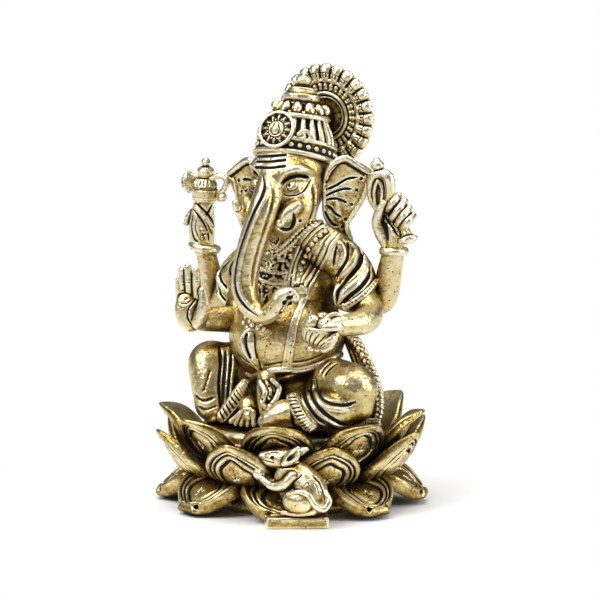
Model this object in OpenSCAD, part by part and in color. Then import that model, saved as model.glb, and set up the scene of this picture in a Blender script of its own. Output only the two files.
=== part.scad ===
// Seated four-armed elephant-headed deity on a double lotus, with a mouse on a small plinth.
// Millimetres. +Z is up, the deity faces -Y, and the origin is the centre of the flat foot under the lotus.

/* [Lotus base] */
// Radius at the tips of the petals
lotus_r = 32; // [28:0.5:38]
// Petals in each of the three rows
petal_count = 8; // [7:1:9]
// Radius of the flat foot that the lotus stands on
foot_r = 20; // [17:0.5:22]
// Radius of the waist between the lower and upper rows
waist_r = 19; // [17:0.5:20]
// Height of that waist
waist_h = 6.8; // [5.5:0.1:7.5]
// Radius of the top of the lotus core
core_top_r = 21.5; // [20:0.5:23]
// Height of the tips of the lower row
lower_tip_h = 3.4; // [3:0.1:5]
// Height of the tips of the outer upper row
outer_tip_h = 17.8; // [16:0.1:19]
// Height of the tips of the inner upper row
inner_tip_h = 20.8; // [19.5:0.1:23]
// Thickness of an upper petal
petal_t = 1.4; // [0.9:0.1:2]
// Thickness of a lower petal
lower_t = 2.2; // [1.6:0.1:2.6]
// Height of the seat's top face above the ground
seat_h = 18.5; // [17:0.1:22]
// Thickness of the round seat pad
pad_t = 2.2; // [1.5:0.1:3]
// Radius of the dowel that pins the figure to the lotus
dowel_r = 2.5; // [1.5:0.1:4]
// Length of that dowel
dowel_l = 14; // [8:0.5:18]

/* [Body] */
// Half width of the belly
belly_r = 13.8; // [12:0.1:16]
// Height of the belly's centre above the seat
belly_h = 20.5; // [18:0.1:24]
// Half width of the chest
chest_r = 12.2; // [11:0.1:14]
// Height of the chest's centre above the seat
chest_h = 33.5; // [31:0.1:37]
// Height of the neck above the seat
neck_h = 43.5; // [42:0.1:52]
// Radius of the neck
neck_r = 6.2; // [5:0.1:7.5]
// Radius of a thigh at the hip
thigh_r = 7.4; // [6:0.1:8.5]
// Radius of a shin
shin_r = 4.5; // [3.5:0.1:5.2]
// Radius of an upper arm at the shoulder
shoulder_r = 4.8; // [4:0.1:5.5]
// Radius of an elbow
elbow_r = 3.7; // [3:0.1:4.2]
// Radius of a wrist
wrist_r = 2.4; // [2:0.1:3]
// Thickness of the rod that a bangle is made of
bangle_t = 1.9; // [1.4:0.1:2.6]

/* [Head] */
// Half width of the skull
head_r = 9.2; // [8.4:0.1:10.5]
// Radius of the trunk at its root
trunk_root_r = 5; // [4:0.1:5.6]
// Radius of the trunk at its tip
trunk_tip_r = 1.8; // [1.4:0.1:2.3]
// Thickness of an ear
ear_t = 1.5; // [1:0.1:2.4]
// Radius of the short tusks
tusk_r = 1.5; // [1.1:0.1:1.8]
// Radius of the crown's beaded band
crown_r = 9.4; // [8.8:0.1:10.5]
// Height of the crown's ribbed dome
dome_h = 8; // [7:0.1:10]
// Ribs round the dome
rib_count = 16; // [12:1:20]
// Backward lean of the crown, in degrees
crown_lean = 15; // [8:1:20]
// Radius of the halo at the tips of its lobes
halo_r = 12.2; // [11:0.1:14]
// Lobes round the halo
lobe_count = 24; // [20:1:28]
// Thickness of the halo's plate
halo_t = 1.6; // [1.2:0.1:2.4]

/* [Held things] */
// Radius of the sweets bowl at its rim
bowl_r = 4.6; // [4:0.1:5.2]
// Radius of the goad's round body
goad_r = 2.9; // [2.4:0.1:3.4]
// Half height of the noose's loop
loop_h = 5.6; // [4.8:0.1:6.4]
// Thickness of the noose's rod
noose_t = 2.4; // [1.8:0.1:2.8]

/* [Mouse] */
// Width of the mouse's plinth
plinth_w = 14.5; // [12:0.5:17]
// Depth of the plinth
plinth_d = 8.6; // [7.5:0.1:10]
// Height of the plinth
plinth_h = 2.6; // [2:0.1:3.5]
// Direction of the mouse from the front of the lotus, in degrees
mouse_turn = 30; // [15:1:35]
// Distance of the plinth's centre from the lotus's axis
mouse_out = 30.2; // [30:0.1:36]

/* [Hidden] */

gold = "goldenrod";
round_n = 10;          // facets round a sculpted limb
small_n = 8;           // facets round a finger, a fold or a bead
fine_n = 48;           // facets of the turned parts, which become true curves
petal_steps = 3;       // strips along half a petal
gap = 0.05;            // clearance round a dowel and between turned parts
petal_step = 360 / petal_count;

// Joints of the limbs, from the centre of the seat's top face.
right_hip = [-9, -1, 8.5];
right_knee = [-18.8, -8.5, 12.6];
right_calf = [-17.4, -10.5, 6];
right_shin = [-12, -14.5, 5];
right_ankle = [-7.4, -17.3, 4.4];
right_arch = [-2, -19.3, 4];
right_toe = [0.6, -20.3, 2.6];
left_hip = [10, -1, 8.5];
left_knee = [19.4, -7.2, 10.2];
left_calf = [18.4, -9.6, 6];
left_shin = [14, -14, 5];
left_ankle = [10.2, -17, 5];
left_arch = [6.2, -19.2, 4.2];
left_toe = [4, -20.3, 2.6];
goad_shoulder = [-14.5, 3.5, 34.5];
goad_elbow = [-21, 6, 23.5];
goad_wrist = [-24.4, 3, 38];
goad_palm = [-24, 2.4, 43.5];
goad_grip = [-23.8, 2, 48.2];
bless_shoulder = [-12.5, 0, 32.5];
bless_elbow = [-(belly_r - 0.2), -2.5, 22.6];
bless_wrist = [-(belly_r + 4.2), -10.8, 22.8];
bless_palm = [-(belly_r + 5.8), -12.6, 27];
noose_shoulder = [14.5, 3.5, 35.5];
noose_elbow = [24.4, 5, 27.4];
noose_wrist = [25.2, 4, 42.2];
noose_fist = [26, 2.4, 49];
loop_mid = [21.6, 0.4, 54.6];
tail_end = [29.6, 2.6, 45];
bowl_shoulder = [14, 0, 32.5];
bowl_elbow = [21.4, -2.4, 25];
bowl_wrist = [20, -10.4, 24.8];
bowl_mid = [15.6, -17, 21.4];

// Places on the head, from the top of the neck.
neck_top = [0, -1, neck_h];
skull_mid = [0, -0.6, 13.5];
muzzle_mid = [0, -5.4, 6.6];
trunk_path = [[0, -8.6, 15], [-0.2, -12.4, 8], [-1.8, -14.8, -2.5], [-2.6, -16, -9.5], [-0.6, -17.4, -14.6],
    [3.6, -18.2, -15.8], [7.6, -17.6, -13.8], [9.8, -16.6, -10.6]];
crown_foot = [0, 1, 19.6];
halo_mid = [1.4, 13.6, 25.8];

// A faceted ball of radius r at p. Its own hull keeps each sculpted node one closed mesh.
module ball(p, r) {
    translate(p) hull() sphere(r, $fn = r < 1.7 ? small_n : round_n);
}

// A faceted egg of half sizes s at p.
module egg(p, s, n = 16) {
    translate(p) hull() scale(s) sphere(1, $fn = n);
}

// A limb of round section through points, with one radius for each.
module limb(points, radii) {
    for (i = [0 : len(points) - 2]) hull() {
        ball(points[i], radii[i]);
        ball(points[i + 1], radii[i + 1]);
    }
}

// Moves a part made about the seat's centre up onto the seat.
module on_seat() {
    translate([0, 0, seat_h]) children();
}

// Moves a part made about the top of the neck into place.
module on_neck() {
    on_seat() translate(neck_top) children();
}

// Moves a part made about the crown's foot into place, leaning back.
module on_crown() {
    on_neck() translate(crown_foot) rotate([-crown_lean, 0, 0]) children();
}

// Everything below the seat's top face, which trims what sits on it.
module below_seat() {
    translate([0, 0, seat_h / 2]) hull() cube([3 * lotus_r, 3 * lotus_r, seat_h], center = true);
}

// ---- Lotus ----

module lotus_core_form(grow = 0) {
    rotate_extrude($fn = fine_n) polygon([[0, 0], [foot_r, 0], [foot_r, 1.4], [waist_r + grow, waist_h - 0.8],
        [waist_r + grow, waist_h + 0.8], [core_top_r + grow, seat_h - pad_t], [0, seat_h - pad_t]]);
}

module lotus_foot_form() {
    cylinder(r = foot_r, h = waist_h - 1.6, $fn = fine_n);
}

module lotus_core() {
    color(gold) difference() {
        lotus_core_form();
        translate([0, 0, seat_h - dowel_l / 2]) cylinder(r = dowel_r + gap, h = dowel_l, $fn = fine_n);
    }
}

module seat_pad() {
    color(gold) translate([0, 0, seat_h - pad_t]) difference() {
        cylinder(r = core_top_r - 0.8, h = pad_t, $fn = fine_n);
        translate([0, 0, -1]) cylinder(r = dowel_r + gap, h = pad_t + 2, $fn = fine_n);
    }
}

module seat_dowel() {
    color(gold) translate([0, 0, seat_h - dowel_l / 2]) cylinder(r = dowel_r, h = dowel_l, $fn = fine_n);
}

tip_share = 0.985;     // how far along its profile a petal runs before its blunt tip

// Half width of a petal at the share s of its length: narrow root, full middle, pointed tip.
function petal_half(s, w) = w * pow(sin(180 * (0.14 + 0.86 * pow(s, 0.86))), 0.62);

// The point at the share s along a profile of [r, z] points.
function profile_at(profile, s) = let (n = len(profile) - 1, k = min(floor(s * n), n - 1), f = s * n - k)
    profile[k] * (1 - f) + profile[k + 1] * f;

// A point of the petal's upper face, s from root to tip and t from one edge to the other.
function petal_point(profile, w, cup, s, t) = let (p = profile_at(profile, s))
    [t * petal_half(s, w), -p[0] + cup[0] * t * t, p[1] + cup[1] * t * t];

// How far the lower face lies from the upper one there: square to the root-to-tip line.
function petal_down(profile, s, thick) = let (d = profile_at(profile, min(s + 0.06, 1)) - profile_at(profile, max(s - 0.06, 0)),
    n = norm(d)) [0, -d[1] / n, -d[0] / n] * thick;

// A petal as one closed sheet: a grid of upper points, then the same grid moved down.
module petal(profile, w, cup, thick) {
    rows = 2 * petal_steps;
    across = [-1, -0.55, 0, 0.55, 1];
    cols = len(across);
    top = [for (i = [0 : rows], t = across) petal_point(profile, w, cup, i / rows * tip_share, t)];
    under = [for (i = [0 : rows], t = across)
        petal_point(profile, w, cup, i / rows * tip_share, t) + petal_down(profile, i / rows * tip_share, thick)];
    n = (rows + 1) * cols;
    last = rows * cols;
    faces = concat(
        [for (i = [0 : rows - 1], j = [0 : cols - 2], k = [0, 1]) let (a = i * cols + j)
            k == 0 ? [a, a + 1, a + cols] : [a + 1, a + cols + 1, a + cols]],
        [for (i = [0 : rows - 1], j = [0 : cols - 2], k = [0, 1]) let (a = n + i * cols + j)
            k == 0 ? [a, a + cols, a + 1] : [a + 1, a + cols, a + cols + 1]],
        [for (i = [0 : rows - 1], k = [0, 1]) let (a = i * cols)
            k == 0 ? [a, a + cols, a + n] : [a + cols, a + cols + n, a + n]],
        [for (i = [0 : rows - 1], k = [0, 1]) let (a = i * cols + cols - 1)
            k == 0 ? [a, a + n, a + cols] : [a + cols, a + n, a + cols + n]],
        [for (j = [0 : cols - 2], k = [0, 1]) k == 0 ? [j, j + n, j + 1] : [j + 1, j + n, j + 1 + n]],
        [for (j = [0 : cols - 2], k = [0, 1]) let (a = last + j)
            k == 0 ? [a, a + 1, a + n] : [a + 1, a + 1 + n, a + n]]);
    polyhedron(concat(top, under), faces, convexity = 6);
}

// A ring of petals, trimmed where it meets the core.
module petal_ring(profile, w, cup, turn, thick) {
    for (i = [0 : petal_count - 1]) rotate(turn + i * petal_step) petal(profile, w, cup, thick);
}

lower_profile = [[waist_r - 1, waist_h + 0.2], [waist_r + 3, waist_h - 0.1], [lotus_r - 6, waist_h - 1.9],
    [lotus_r - 2.6, lower_tip_h - 0.5], [lotus_r - 0.2, lower_tip_h]];
outer_profile = [[waist_r - 1, waist_h + 2.8], [lotus_r - 9, waist_h + 3.2], [lotus_r - 5.6, outer_tip_h - 6.2],
    [lotus_r - 2.8, outer_tip_h - 2.6], [lotus_r - 0.2, outer_tip_h]];
inner_profile = [[core_top_r - 2, waist_h + 6.5], [lotus_r - 8.3, waist_h + 8.2], [lotus_r - 5.9, inner_tip_h - 4],
    [lotus_r - 3.8, inner_tip_h - 1.5], [lotus_r - 1.2, inner_tip_h]];
lower_w = 0.92 * (lotus_r - 5.5) * sin(petal_step / 2);
upper_w = 0.86 * (lotus_r - 6) * sin(petal_step / 2);

module lower_petals() {
    color(gold) difference() {
        petal_ring(lower_profile, lower_w, [0.4, 0.4], petal_step / 2, lower_t);
        hull() lotus_foot_form();
        lotus_core_form();
        translate([0, 0, -5]) hull() cube([3 * lotus_r, 3 * lotus_r, 10], center = true);
        mouse_frame() {
            plinth_form();
            mouse_form();
            mouse_tail_form();
            mouse_sweet_form();
        }
    }
}

module outer_petals() {
    color(gold) difference() {
        petal_ring(outer_profile, upper_w, [1.6, 1.2], 0, petal_t);
        lotus_core_form();
        mouse_frame() {
            mouse_form();
            mouse_tail_form();
            mouse_sweet_form();
        }
    }
}

module inner_petals() {
    color(gold) difference() {
        petal_ring(inner_profile, upper_w * 0.92, [1.2, 0.6], petal_step / 2, petal_t);
        lotus_core_form();
        translate([0, 0, seat_h - pad_t]) cylinder(r = core_top_r - 0.8, h = pad_t, $fn = fine_n);
        mouse_frame() mouse_form();
    }
}

// ---- Mouse ----

// The mouse's own frame: its plinth's centre on the ground, with the outside of the lotus at -Y.
module mouse_frame() {
    rotate(mouse_turn) translate([0, -mouse_out, 0]) children();
}

module plinth_form() {
    hull() for (x = [-1, 1], y = [-1, 1]) translate([x * (plinth_w / 2 - 1), y * (plinth_d / 2 - 1), 0])
        cylinder(r = 1, h = plinth_h, $fn = round_n);
}

module mouse_plinth() {
    color(gold) difference() {
        mouse_frame() plinth_form();
        lotus_core_form();
    }
}

module mouse_form() {
    translate([0, 0, plinth_h]) {
        egg([3, 0.2, 3.4], [4.4, 3.3, 3.5]);
        limb([[3.4, 0.6, 4.5], [1.8, 1.4, 8], [-1, 1.6, 10.4]], [3.3, 2.9, 2]);
        limb([[-0.6, 1, 12.2], [-3.4, 0, 12.4], [-6.4, -0.6, 12]], [2.6, 2.1, 0.9]);
        limb([[0.2, -0.6, 8.4], [-2.6, -2.2, 5.8], [-6, -2.4, 8.2]], [1.4, 1.1, 0.9]);
        limb([[2.6, -2.4, 1.2], [-2.4, -2.2, 0.9]], [1.2, 0.8]);
        for (y = [-1.2, 2.8]) egg([0.7, y, 13.6], [2.2, 0.9, 1.9], round_n);
    }
}

module mouse_body() {
    color(gold) difference() {
        mouse_frame() mouse_form();
        mouse_frame() plinth_form();
        lotus_core_form();
    }
}

module mouse_tail_form() {
    translate([0, 0, plinth_h])
        limb([[6, 2.2, 3.4], [7.4, 0.4, 2], [6.6, -2.2, 1], [3.4, -3.4, 0.7]], [0.8, 0.8, 0.7, 0.5]);
}

module mouse_sweet_form() {
    translate([0, 0, plinth_h]) ball([-7, -2.4, 9], 1.5);
}

module mouse_tail() {
    color(gold) difference() {
        mouse_frame() mouse_tail_form();
        mouse_frame() mouse_form();
        mouse_frame() plinth_form();
    }
}

module mouse_sweet() {
    color(gold) difference() {
        mouse_frame() mouse_sweet_form();
        mouse_frame() mouse_form();
    }
}

// ---- Body ----

module torso_form() {
    on_seat() {
        egg([0, 0.5, 7], [12.5, 10.5, 9]);
        egg([0, -2.4, belly_h], [belly_r, 12.4, 11.6], 20);
        egg([0, 0.2, chest_h], [chest_r, 9, 11]);
        limb([[0, 0.5, chest_h], [0, -0.5, neck_h]], [neck_r + 2, neck_r]);
        for (side = [-1, 1]) limb([[side * 6, 1, chest_h + 5], [side * 12, 1.6, chest_h + 3.5]], [5, 4.6]);
    }
}

module torso() {
    color(gold) difference() {
        torso_form();
        below_seat();
        translate([0, 0, seat_h - 1]) cylinder(r = dowel_r + gap, h = dowel_l / 2 + 1.2, $fn = 24);
    }
}

module leg_form(hip, knee, calf, shin, ankle) {
    on_seat() limb([hip, knee, calf, shin, ankle], [thigh_r, 6, 5.6, shin_r, 3.4]);
}

module right_leg_form() leg_form(right_hip, right_knee, right_calf, right_shin, right_ankle);
module left_leg_form() leg_form(left_hip, left_knee, left_calf, left_shin, left_ankle);

module right_leg() {
    color(gold) difference() {
        right_leg_form();
        torso_form();
        below_seat();
    }
}

module left_leg() {
    color(gold) difference() {
        left_leg_form();
        torso_form();
        below_seat();
    }
}

module foot_form(ankle, arch, toe) {
    on_seat() limb([ankle, arch, toe], [2.9, 3, 2]);
}

module right_foot() {
    color(gold) difference() {
        foot_form(right_ankle, right_arch, right_toe);
        right_leg_form();
        torso_form();
        below_seat();
    }
}

module left_foot() {
    color(gold) difference() {
        foot_form(left_ankle, left_arch, left_toe);
        left_leg_form();
        torso_form();
        below_seat();
        foot_form(right_ankle, right_arch, right_toe);
    }
}

// Points the +Z of its children from a to b.
module aim(a, b) {
    d = b - a;
    translate(a) rotate([0, acos(d[2] / norm(d)), atan2(d[1], d[0])]) children();
}

// A ring of rod thickness t round a limb of radius r.
module ring_form(r, t) {
    rotate_extrude($fn = 24) translate([r + t * 0.2, 0]) circle(t / 2, $fn = 14);
}

// A wide cuff of slanted ribs where the cloth ends above a foot.
module cuff_form(shin, ankle) {
    on_seat() aim(ankle, shin) {
        hull() ring_form(3.6, 1.6);
        for (i = [0 : 6]) rotate(i * 50) translate([3.6, 0, 0]) hull() sphere(0.7, $fn = 8);
    }
}

module right_anklet() {
    color(gold) difference() {
        cuff_form(right_shin, right_ankle);
        right_leg_form();
        foot_form(right_ankle, right_arch, right_toe);
        below_seat();
        torso_form();
    }
}

module left_anklet() {
    color(gold) difference() {
        cuff_form(left_shin, left_ankle);
        left_leg_form();
        foot_form(left_ankle, left_arch, left_toe);
        below_seat();
        torso_form();
    }
}

// ---- Cloth and jewellery on the body ----

// A point on the front of the belly and chest, x across and h above the seat.
function front_y(x, h) = let (
        belly = 1 - pow(x / belly_r, 2) - pow((h - belly_h) / 11.6, 2),
        chest = 1 - pow(x / chest_r, 2) - pow((h - chest_h) / 11, 2))
    min(-2.4 - 12.4 * sqrt(max(belly, 0.02)), 0.2 - 9 * sqrt(max(chest, 0.02)));
function front(x, h, out = 0) = [x, front_y(x, h) - out, h];

sash_path = [[-13.6, -5.5, 14.8], [-11.2, -9.4, 14], [-6, -13.2, 13.2], [0.4, -14.8, 13], [7, -13.6, 14.6],
    [13, -8.4, 16.8], [15.2, 0, 19]];

module sash_form() {
    on_seat() limb(sash_path, [1.3, 1.3, 1.3, 1.5, 1.3, 1.3, 1.3]);
}

module waist_sash() {
    color(gold) difference() {
        sash_form();
        torso_form();
        right_leg_form();
        left_leg_form();
    }
}

module pleats_form() {
    on_seat() for (i = [0 : 2]) limb([[1.6 + i * 1.3, -13.6, 12.4], [1 + i * 1.6, -16.4, 8.5], [0.6 + i * 1.9, -18, 4.5]],
        [0.9, 1.1, 1.3]);
}

module front_pleats() {
    color(gold) difference() {
        pleats_form();
        torso_form();
        sash_form();
        right_leg_form();
        left_leg_form();
        foot_form(right_ankle, right_arch, right_toe);
        foot_form(left_ankle, left_arch, left_toe);
        below_seat();
    }
}

module belly_pendant() {
    color(gold) difference() {
        on_seat() {
            limb([front(-3.8, 25), front(-3.6, 21), front(-2.4, 17.4), front(-0.4, 14.4)], [1.5, 2.2, 1.7, 0.8]);
            for (i = [-2 : 2]) ball(front(-3.8 + i * 1.3, 27 - abs(i) * 0.5), 1);
        }
        torso_form();
        sash_form();
        trunk_form();
    }
}

module sacred_thread() {
    color(gold) difference() {
        on_seat() limb([front(8.4, 32.5, -0.1), front(8, 29, 0.1), front(6.8, 24, 0.1), front(5.6, 19, 0.1),
            front(4.9, 15.4, 0.1)], [0.9, 0.9, 0.9, 0.9, 0.9]);
        torso_form();
        sash_form();
    }
}

module necklace() {
    color(gold) difference() {
        on_seat() {
            for (a = [-70 : 14 : 70]) ball([7.8 * sin(a), -2 - 6.6 * cos(a), 40.4 - 3.2 * cos(a)], 0.95);
            limb([front(1, 37, 0.2), front(2.4, 34, 0.2), front(3, 31, 0.2)], [1, 1.4, 1.2]);
        }
        torso_form();
        head_form();
        trunk_form();
    }
}

border_path = [[10, -2.4, 44.2], [9.6, -5.4, 41.6], [8.7, -7.4, 38.4], [7.8, -8.9, 34.6], [7.6, -10.2, 31]];

module border_form() {
    on_seat() limb(border_path, [1.1, 1.3, 1.4, 1.4, 1.2]);
}

module shawl_border() {
    color(gold) difference() {
        border_form();
        torso_form();
        left_drape_form();
        head_form();
    }
}

module right_drape_form() {
    on_seat() limb([[-8, 1, neck_h - 3], [-13.2, 1.6, 36.6], [-(belly_r + 1.6), 1.8, 30.4],
        [-(belly_r + 0.8), 0.6, 25.6]], [4.6, 5.4, 5.2, 4.4]);
}

module left_drape_form() {
    on_seat() limb([[8, 1, neck_h - 3], [13.6, 1.8, 38], [17.4, 2.6, 34], [18.8, 2.4, 29.4], [18.4, 0.8, 25.6]],
        [4.6, 5.8, 5.9, 5.2, 4.3]);
}

module right_drape() {
    color(gold) difference() {
        right_drape_form();
        torso_form();
        head_form();
        ear_form(-1);
    }
}

module left_drape() {
    color(gold) difference() {
        left_drape_form();
        torso_form();
        head_form();
        ear_form(1);
    }
}

braid_path = [[14.4, 5.6, 24.5], [17.6, 5, 20.6], [20.6, 4, 15.4], [22.4, 2.6, 9.6], [22.6, 1.4, 3.8]];

module braid_form() {
    on_seat() limb(braid_path, [0.9, 1.1, 1.2, 1.2, 1.1]);
}

module braided_sash() {
    color(gold) difference() {
        braid_form();
        torso_form();
        left_leg_form();
        left_drape_form();
    }
}

module sash_tassel() {
    color(gold) difference() {
        on_seat() {
            limb([[21.6, 0.6, 3.4], [21.4, 0.2, 1.8]], [1.9, 2]);
            for (i = [-2 : 2]) limb([[21.4 + i * 0.7, 0.2, 1.8], [21.2 + i * 1.2, -0.4, -0.6]], [0.8, 0.9]);
        }
        braid_form();
        left_leg_form();
        below_seat();
    }
}

module shawl_tail() {
    color(gold) difference() {
        on_seat() limb([[13.4, 5, 23], [16.4, 5.4, 17], [18, 5.2, 10], [18.4, 4, 2]], [1.4, 2, 2.4, 2.4]);
        torso_form();
        left_leg_form();
        left_drape_form();
        braid_form();
        below_seat();
    }
}

// ---- Arms and what they hold ----

module arm_form(shoulder, elbow, wrist) {
    on_seat() limb([shoulder, elbow, (elbow + wrist) / 2, wrist], [shoulder_r, elbow_r, 0.5 * (elbow_r + wrist_r) + 0.2,
        wrist_r]);
}

module goad_arm_form() arm_form(goad_shoulder, goad_elbow, goad_wrist);
module bless_arm_form() arm_form(bless_shoulder, bless_elbow, bless_wrist);
module noose_arm_form() arm_form(noose_shoulder, noose_elbow, noose_wrist);
module bowl_arm_form() arm_form(bowl_shoulder, bowl_elbow, bowl_wrist);

module goad_arm() {
    color(gold) difference() {
        goad_arm_form();
        right_drape_form();
        torso_form();
    }
}

module blessing_arm() {
    color(gold) difference() {
        bless_arm_form();
        right_drape_form();
        torso_form();
        goad_arm_form();
    }
}

module noose_arm() {
    color(gold) difference() {
        noose_arm_form();
        left_drape_form();
        torso_form();
    }
}

module bowl_arm() {
    color(gold) difference() {
        bowl_arm_form();
        left_drape_form();
        torso_form();
        noose_arm_form();
    }
}

module bangle_form(wrist, elbow) {
    on_seat() aim(wrist, elbow) hull() ring_form(wrist_r + 0.4, bangle_t);
}

module bangle(wrist, elbow) {
    color(gold) difference() {
        bangle_form(wrist, elbow);
        for (i = [0 : 7]) on_seat() limb([wrist, elbow, wrist], [wrist_r, elbow_r, wrist_r]);
    }
}

module goad_bangle() bangle(goad_wrist, goad_elbow);
module noose_bangle() bangle(noose_wrist, noose_elbow);
module bowl_bangle() bangle(bowl_wrist, bowl_elbow);

module goad_hand_form() {
    on_seat() {
        limb([goad_wrist, goad_palm, goad_grip], [wrist_r, 2.9, 1.6]);
        for (i = [0 : 2]) limb([goad_palm + [-1.6, -1.4 + i * 1.5, -1.6], goad_palm + [-0.6, -1.4 + i, 3.4]], [0.9, 0.8]);
    }
}

module goad_hand() {
    color(gold) difference() {
        goad_hand_form();
        goad_arm_form();
        bangle_form(goad_wrist, goad_elbow);
    }
}

// The goad's turned body: foot ring, round bowl, ribbed shoulder, knob and bud.
goad_foot = goad_grip + [0, 0, 0.6];

module goad_profile() {
    polygon([[0, 0], [1.9, 0], [2, 0.8], [goad_r - 0.3, 1.6], [goad_r, 2.9], [goad_r - 0.2, 4.2], [1.6, 5.6], [1.7, 6.2],
        [2.1, 7], [1.7, 8], [0.7, 8.4], [1.1, 9.2], [0.8, 10.2], [0, 10.9]]);
}

module goad_body_form() {
    on_seat() translate(goad_foot) rotate_extrude($fn = 32) goad_profile();
}

module goad_body() {
    color(gold) difference() {
        goad_body_form();
        goad_hand_form();
    }
}

module goad_blade() {
    color(gold) difference() {
        on_seat() translate(goad_foot + [0, 0, 3.2]) for (i = [0 : 7]) hull() {
            rotate([0, -i * 16 + 62, 0]) translate([-4.4, -0.3, 0]) rotate([90, 0, 0]) cylinder(r = 1.5, h = 1, $fn = 8);
            translate([-2.6, -0.3, 0.6 - i * 0.1]) rotate([90, 0, 0]) cylinder(r = 1, h = 1, $fn = 8);
        }
        goad_body_form();
    }
}

module goad_hook() {
    color(gold) difference() {
        on_seat() translate(goad_foot + [0, 0, 1.6]) {
            limb([[1.8, -0.6, 4.2], [4.4, -0.9, 4.6], [5.4, -1, 3], [4.2, -1, 1], [4, -1, -0.8]], [0.7, 0.9, 0.9, 0.8, 0.7]);
            ball([5, -1, -1], 1.2);
        }
        goad_body_form();
    }
}

// Four straight fingers side by side, with their roots at p and the tallest in the middle.
module open_fingers(p) {
    for (i = [0 : 3]) limb([p + [-2.5 + i * 1.75, -0.2 * i, 1.5], p + [-2.9 + i * 1.95, -0.4 - 0.2 * i, 8.6 - abs(i - 1.7) * 1.6]],
        [1.05, 0.85]);
}

module bless_hand_form() {
    on_seat() {
        limb([bless_wrist, bless_palm + [0.2, 0, -1], bless_palm + [-0.2, -0.4, 1.4]], [2.9, 3.5, 3.4]);
        open_fingers(bless_palm);
        limb([bless_palm + [2.6, -1.2, -1], bless_palm + [3.2, -1.6, 4.6]], [1.5, 1]);
    }
}

module blessing_hand() {
    color(gold) difference() {
        bless_hand_form();
        bless_arm_form();
    }
}

module noose_hand_form() {
    on_seat() {
        limb([noose_wrist, noose_fist + [-0.6, 0, -2.6], noose_fist], [wrist_r, 2.9, 2.7]);
        for (i = [0 : 3]) limb([noose_fist + [-1.2 + i, -2.2, 2.4 - i * 1.6], noose_fist + [2.2 + i * 0.5, -0.8, 2.8 - i * 1.6]],
            [0.9, 1]);
        limb([noose_fist + [-2.2, -1, -3.4], noose_fist + [-3, -1.8, 1.2]], [1.5, 1]);
    }
}

module noose_hand() {
    color(gold) difference() {
        noose_hand_form();
        noose_arm_form();
        bangle_form(noose_wrist, noose_elbow);
    }
}

function loop_point(a) = loop_mid + [2.1 * sin(a), 0, loop_h * cos(a)] + [0.12 * loop_h * cos(a), 0, 0];

module noose_loop_form() {
    on_seat() {
        for (a = [0 : 30 : 330]) hull() {
            ball(loop_point(a), noose_t / 2);
            ball(loop_point(a + 30), noose_t / 2);
        }
        ball(loop_mid + [0.8, 0, loop_h + 1.6], 1.3);
        ball(loop_mid + [0.8, 0, loop_h + 2.7], 0.7);
        limb([loop_point(60) + [2, 0.4, 0], loop_point(100) + [2.4, 0.6, -1.6]], [1.5, 1.5]);
    }
}

module noose_loop() {
    color(gold) difference() {
        noose_loop_form();
        noose_hand_form();
    }
}

module noose_tail() {
    color(gold) difference() {
        on_seat() limb([noose_fist + [1.6, -1.4, -3.4], (noose_fist + tail_end) / 2 + [0.8, -0.8, -2], tail_end], [1.3, 1.3, 1.4]);
        noose_hand_form();
        noose_arm_form();
        bangle_form(noose_wrist, noose_elbow);
    }
}

// The bowl is turned, and the sweets fill it.
module bowl_form() {
    on_seat() translate(bowl_mid) rotate_extrude($fn = 32)
        polygon([[0, 0], [1.8, 0], [3.6, 1.4], [bowl_r, 3.6], [bowl_r, 4.4], [0, 4.4]]);
}

module bowl_hand_form() {
    on_seat() {
        limb([bowl_wrist, bowl_mid + [3.4, 2.6, 1.4], bowl_mid + [0.6, 0.6, 0], bowl_mid + [-2, -0.2, 0]], [wrist_r, 2.2, 1.8, 1.4]);
        for (i = [0 : 3]) limb([bowl_mid + [2.2 - i * 1.7, 0.4, -0.2], bowl_mid + [1 - i * 1.5, -4.2 + i * 0.4, 1.6]], [0.9, 0.8]);
        limb([bowl_mid + [4.6, 2, 3], bowl_mid + [3.8, -1.6, 5.6]], [1.3, 1]);
    }
}

module sweets_bowl() {
    color(gold) difference() {
        bowl_form();
        torso_form();
        bowl_hand_form();
    }
}

module bowl_hand() {
    color(gold) difference() {
        bowl_hand_form();
        bowl_arm_form();
        bangle_form(bowl_wrist, bowl_elbow);
        torso_form();
    }
}

module sweets_form() {
    on_seat() translate(bowl_mid + [0, 0, 4.4]) {
        for (i = [0 : 5]) rotate(i * 60) ball([2.5, 0, 0.4], 1.6);
        ball([0, 0, 1.6], 2.2);
    }
}

module sweets() {
    color(gold) difference() {
        sweets_form();
        bowl_form();
        bowl_hand_form();
        torso_form();
    }
}

// ---- Head ----

module head_form() {
    on_neck() {
        egg(skull_mid, [head_r, 9.4, 10], 20);
        egg(muzzle_mid, [7.4, 6, 7.6]);
        limb([[0, -1, 4], [0, 0, 0.5]], [6.8, neck_r]);
        egg([0, -7, 16], [6.6, 4, 5]);
    }
}

// Everything above the crown's foot, which trims the head where the crown sits.
module crown_space() {
    on_crown() translate([0, 0, 10]) hull() cube([3 * crown_r, 3 * crown_r, 20], center = true);
}

module head() {
    color(gold) difference() {
        head_form();
        torso_form();
        crown_space();
    }
}

trunk_radii = [trunk_root_r, 4.4, 3.7, 3.3, 3, 2.7, 2.3, trunk_tip_r];

module trunk_form() {
    on_neck() limb(trunk_path, trunk_radii);
}

module trunk() {
    color(gold) difference() {
        trunk_form();
        head_form();
        torso_form();
        crown_space();
    }
}

module tusk(side) {
    color(gold) difference() {
        on_neck() limb([[side * 4.6, -9, 6.6], [side * 5.4, -11.6, 5.2], [side * 5.9, -13.4, 4.2]],
            [tusk_r + 0.2, tusk_r, tusk_r * 0.8]);
        head_form();
        trunk_form();
    }
}

module right_tusk() tusk(-1);
module left_tusk() tusk(1);

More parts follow.
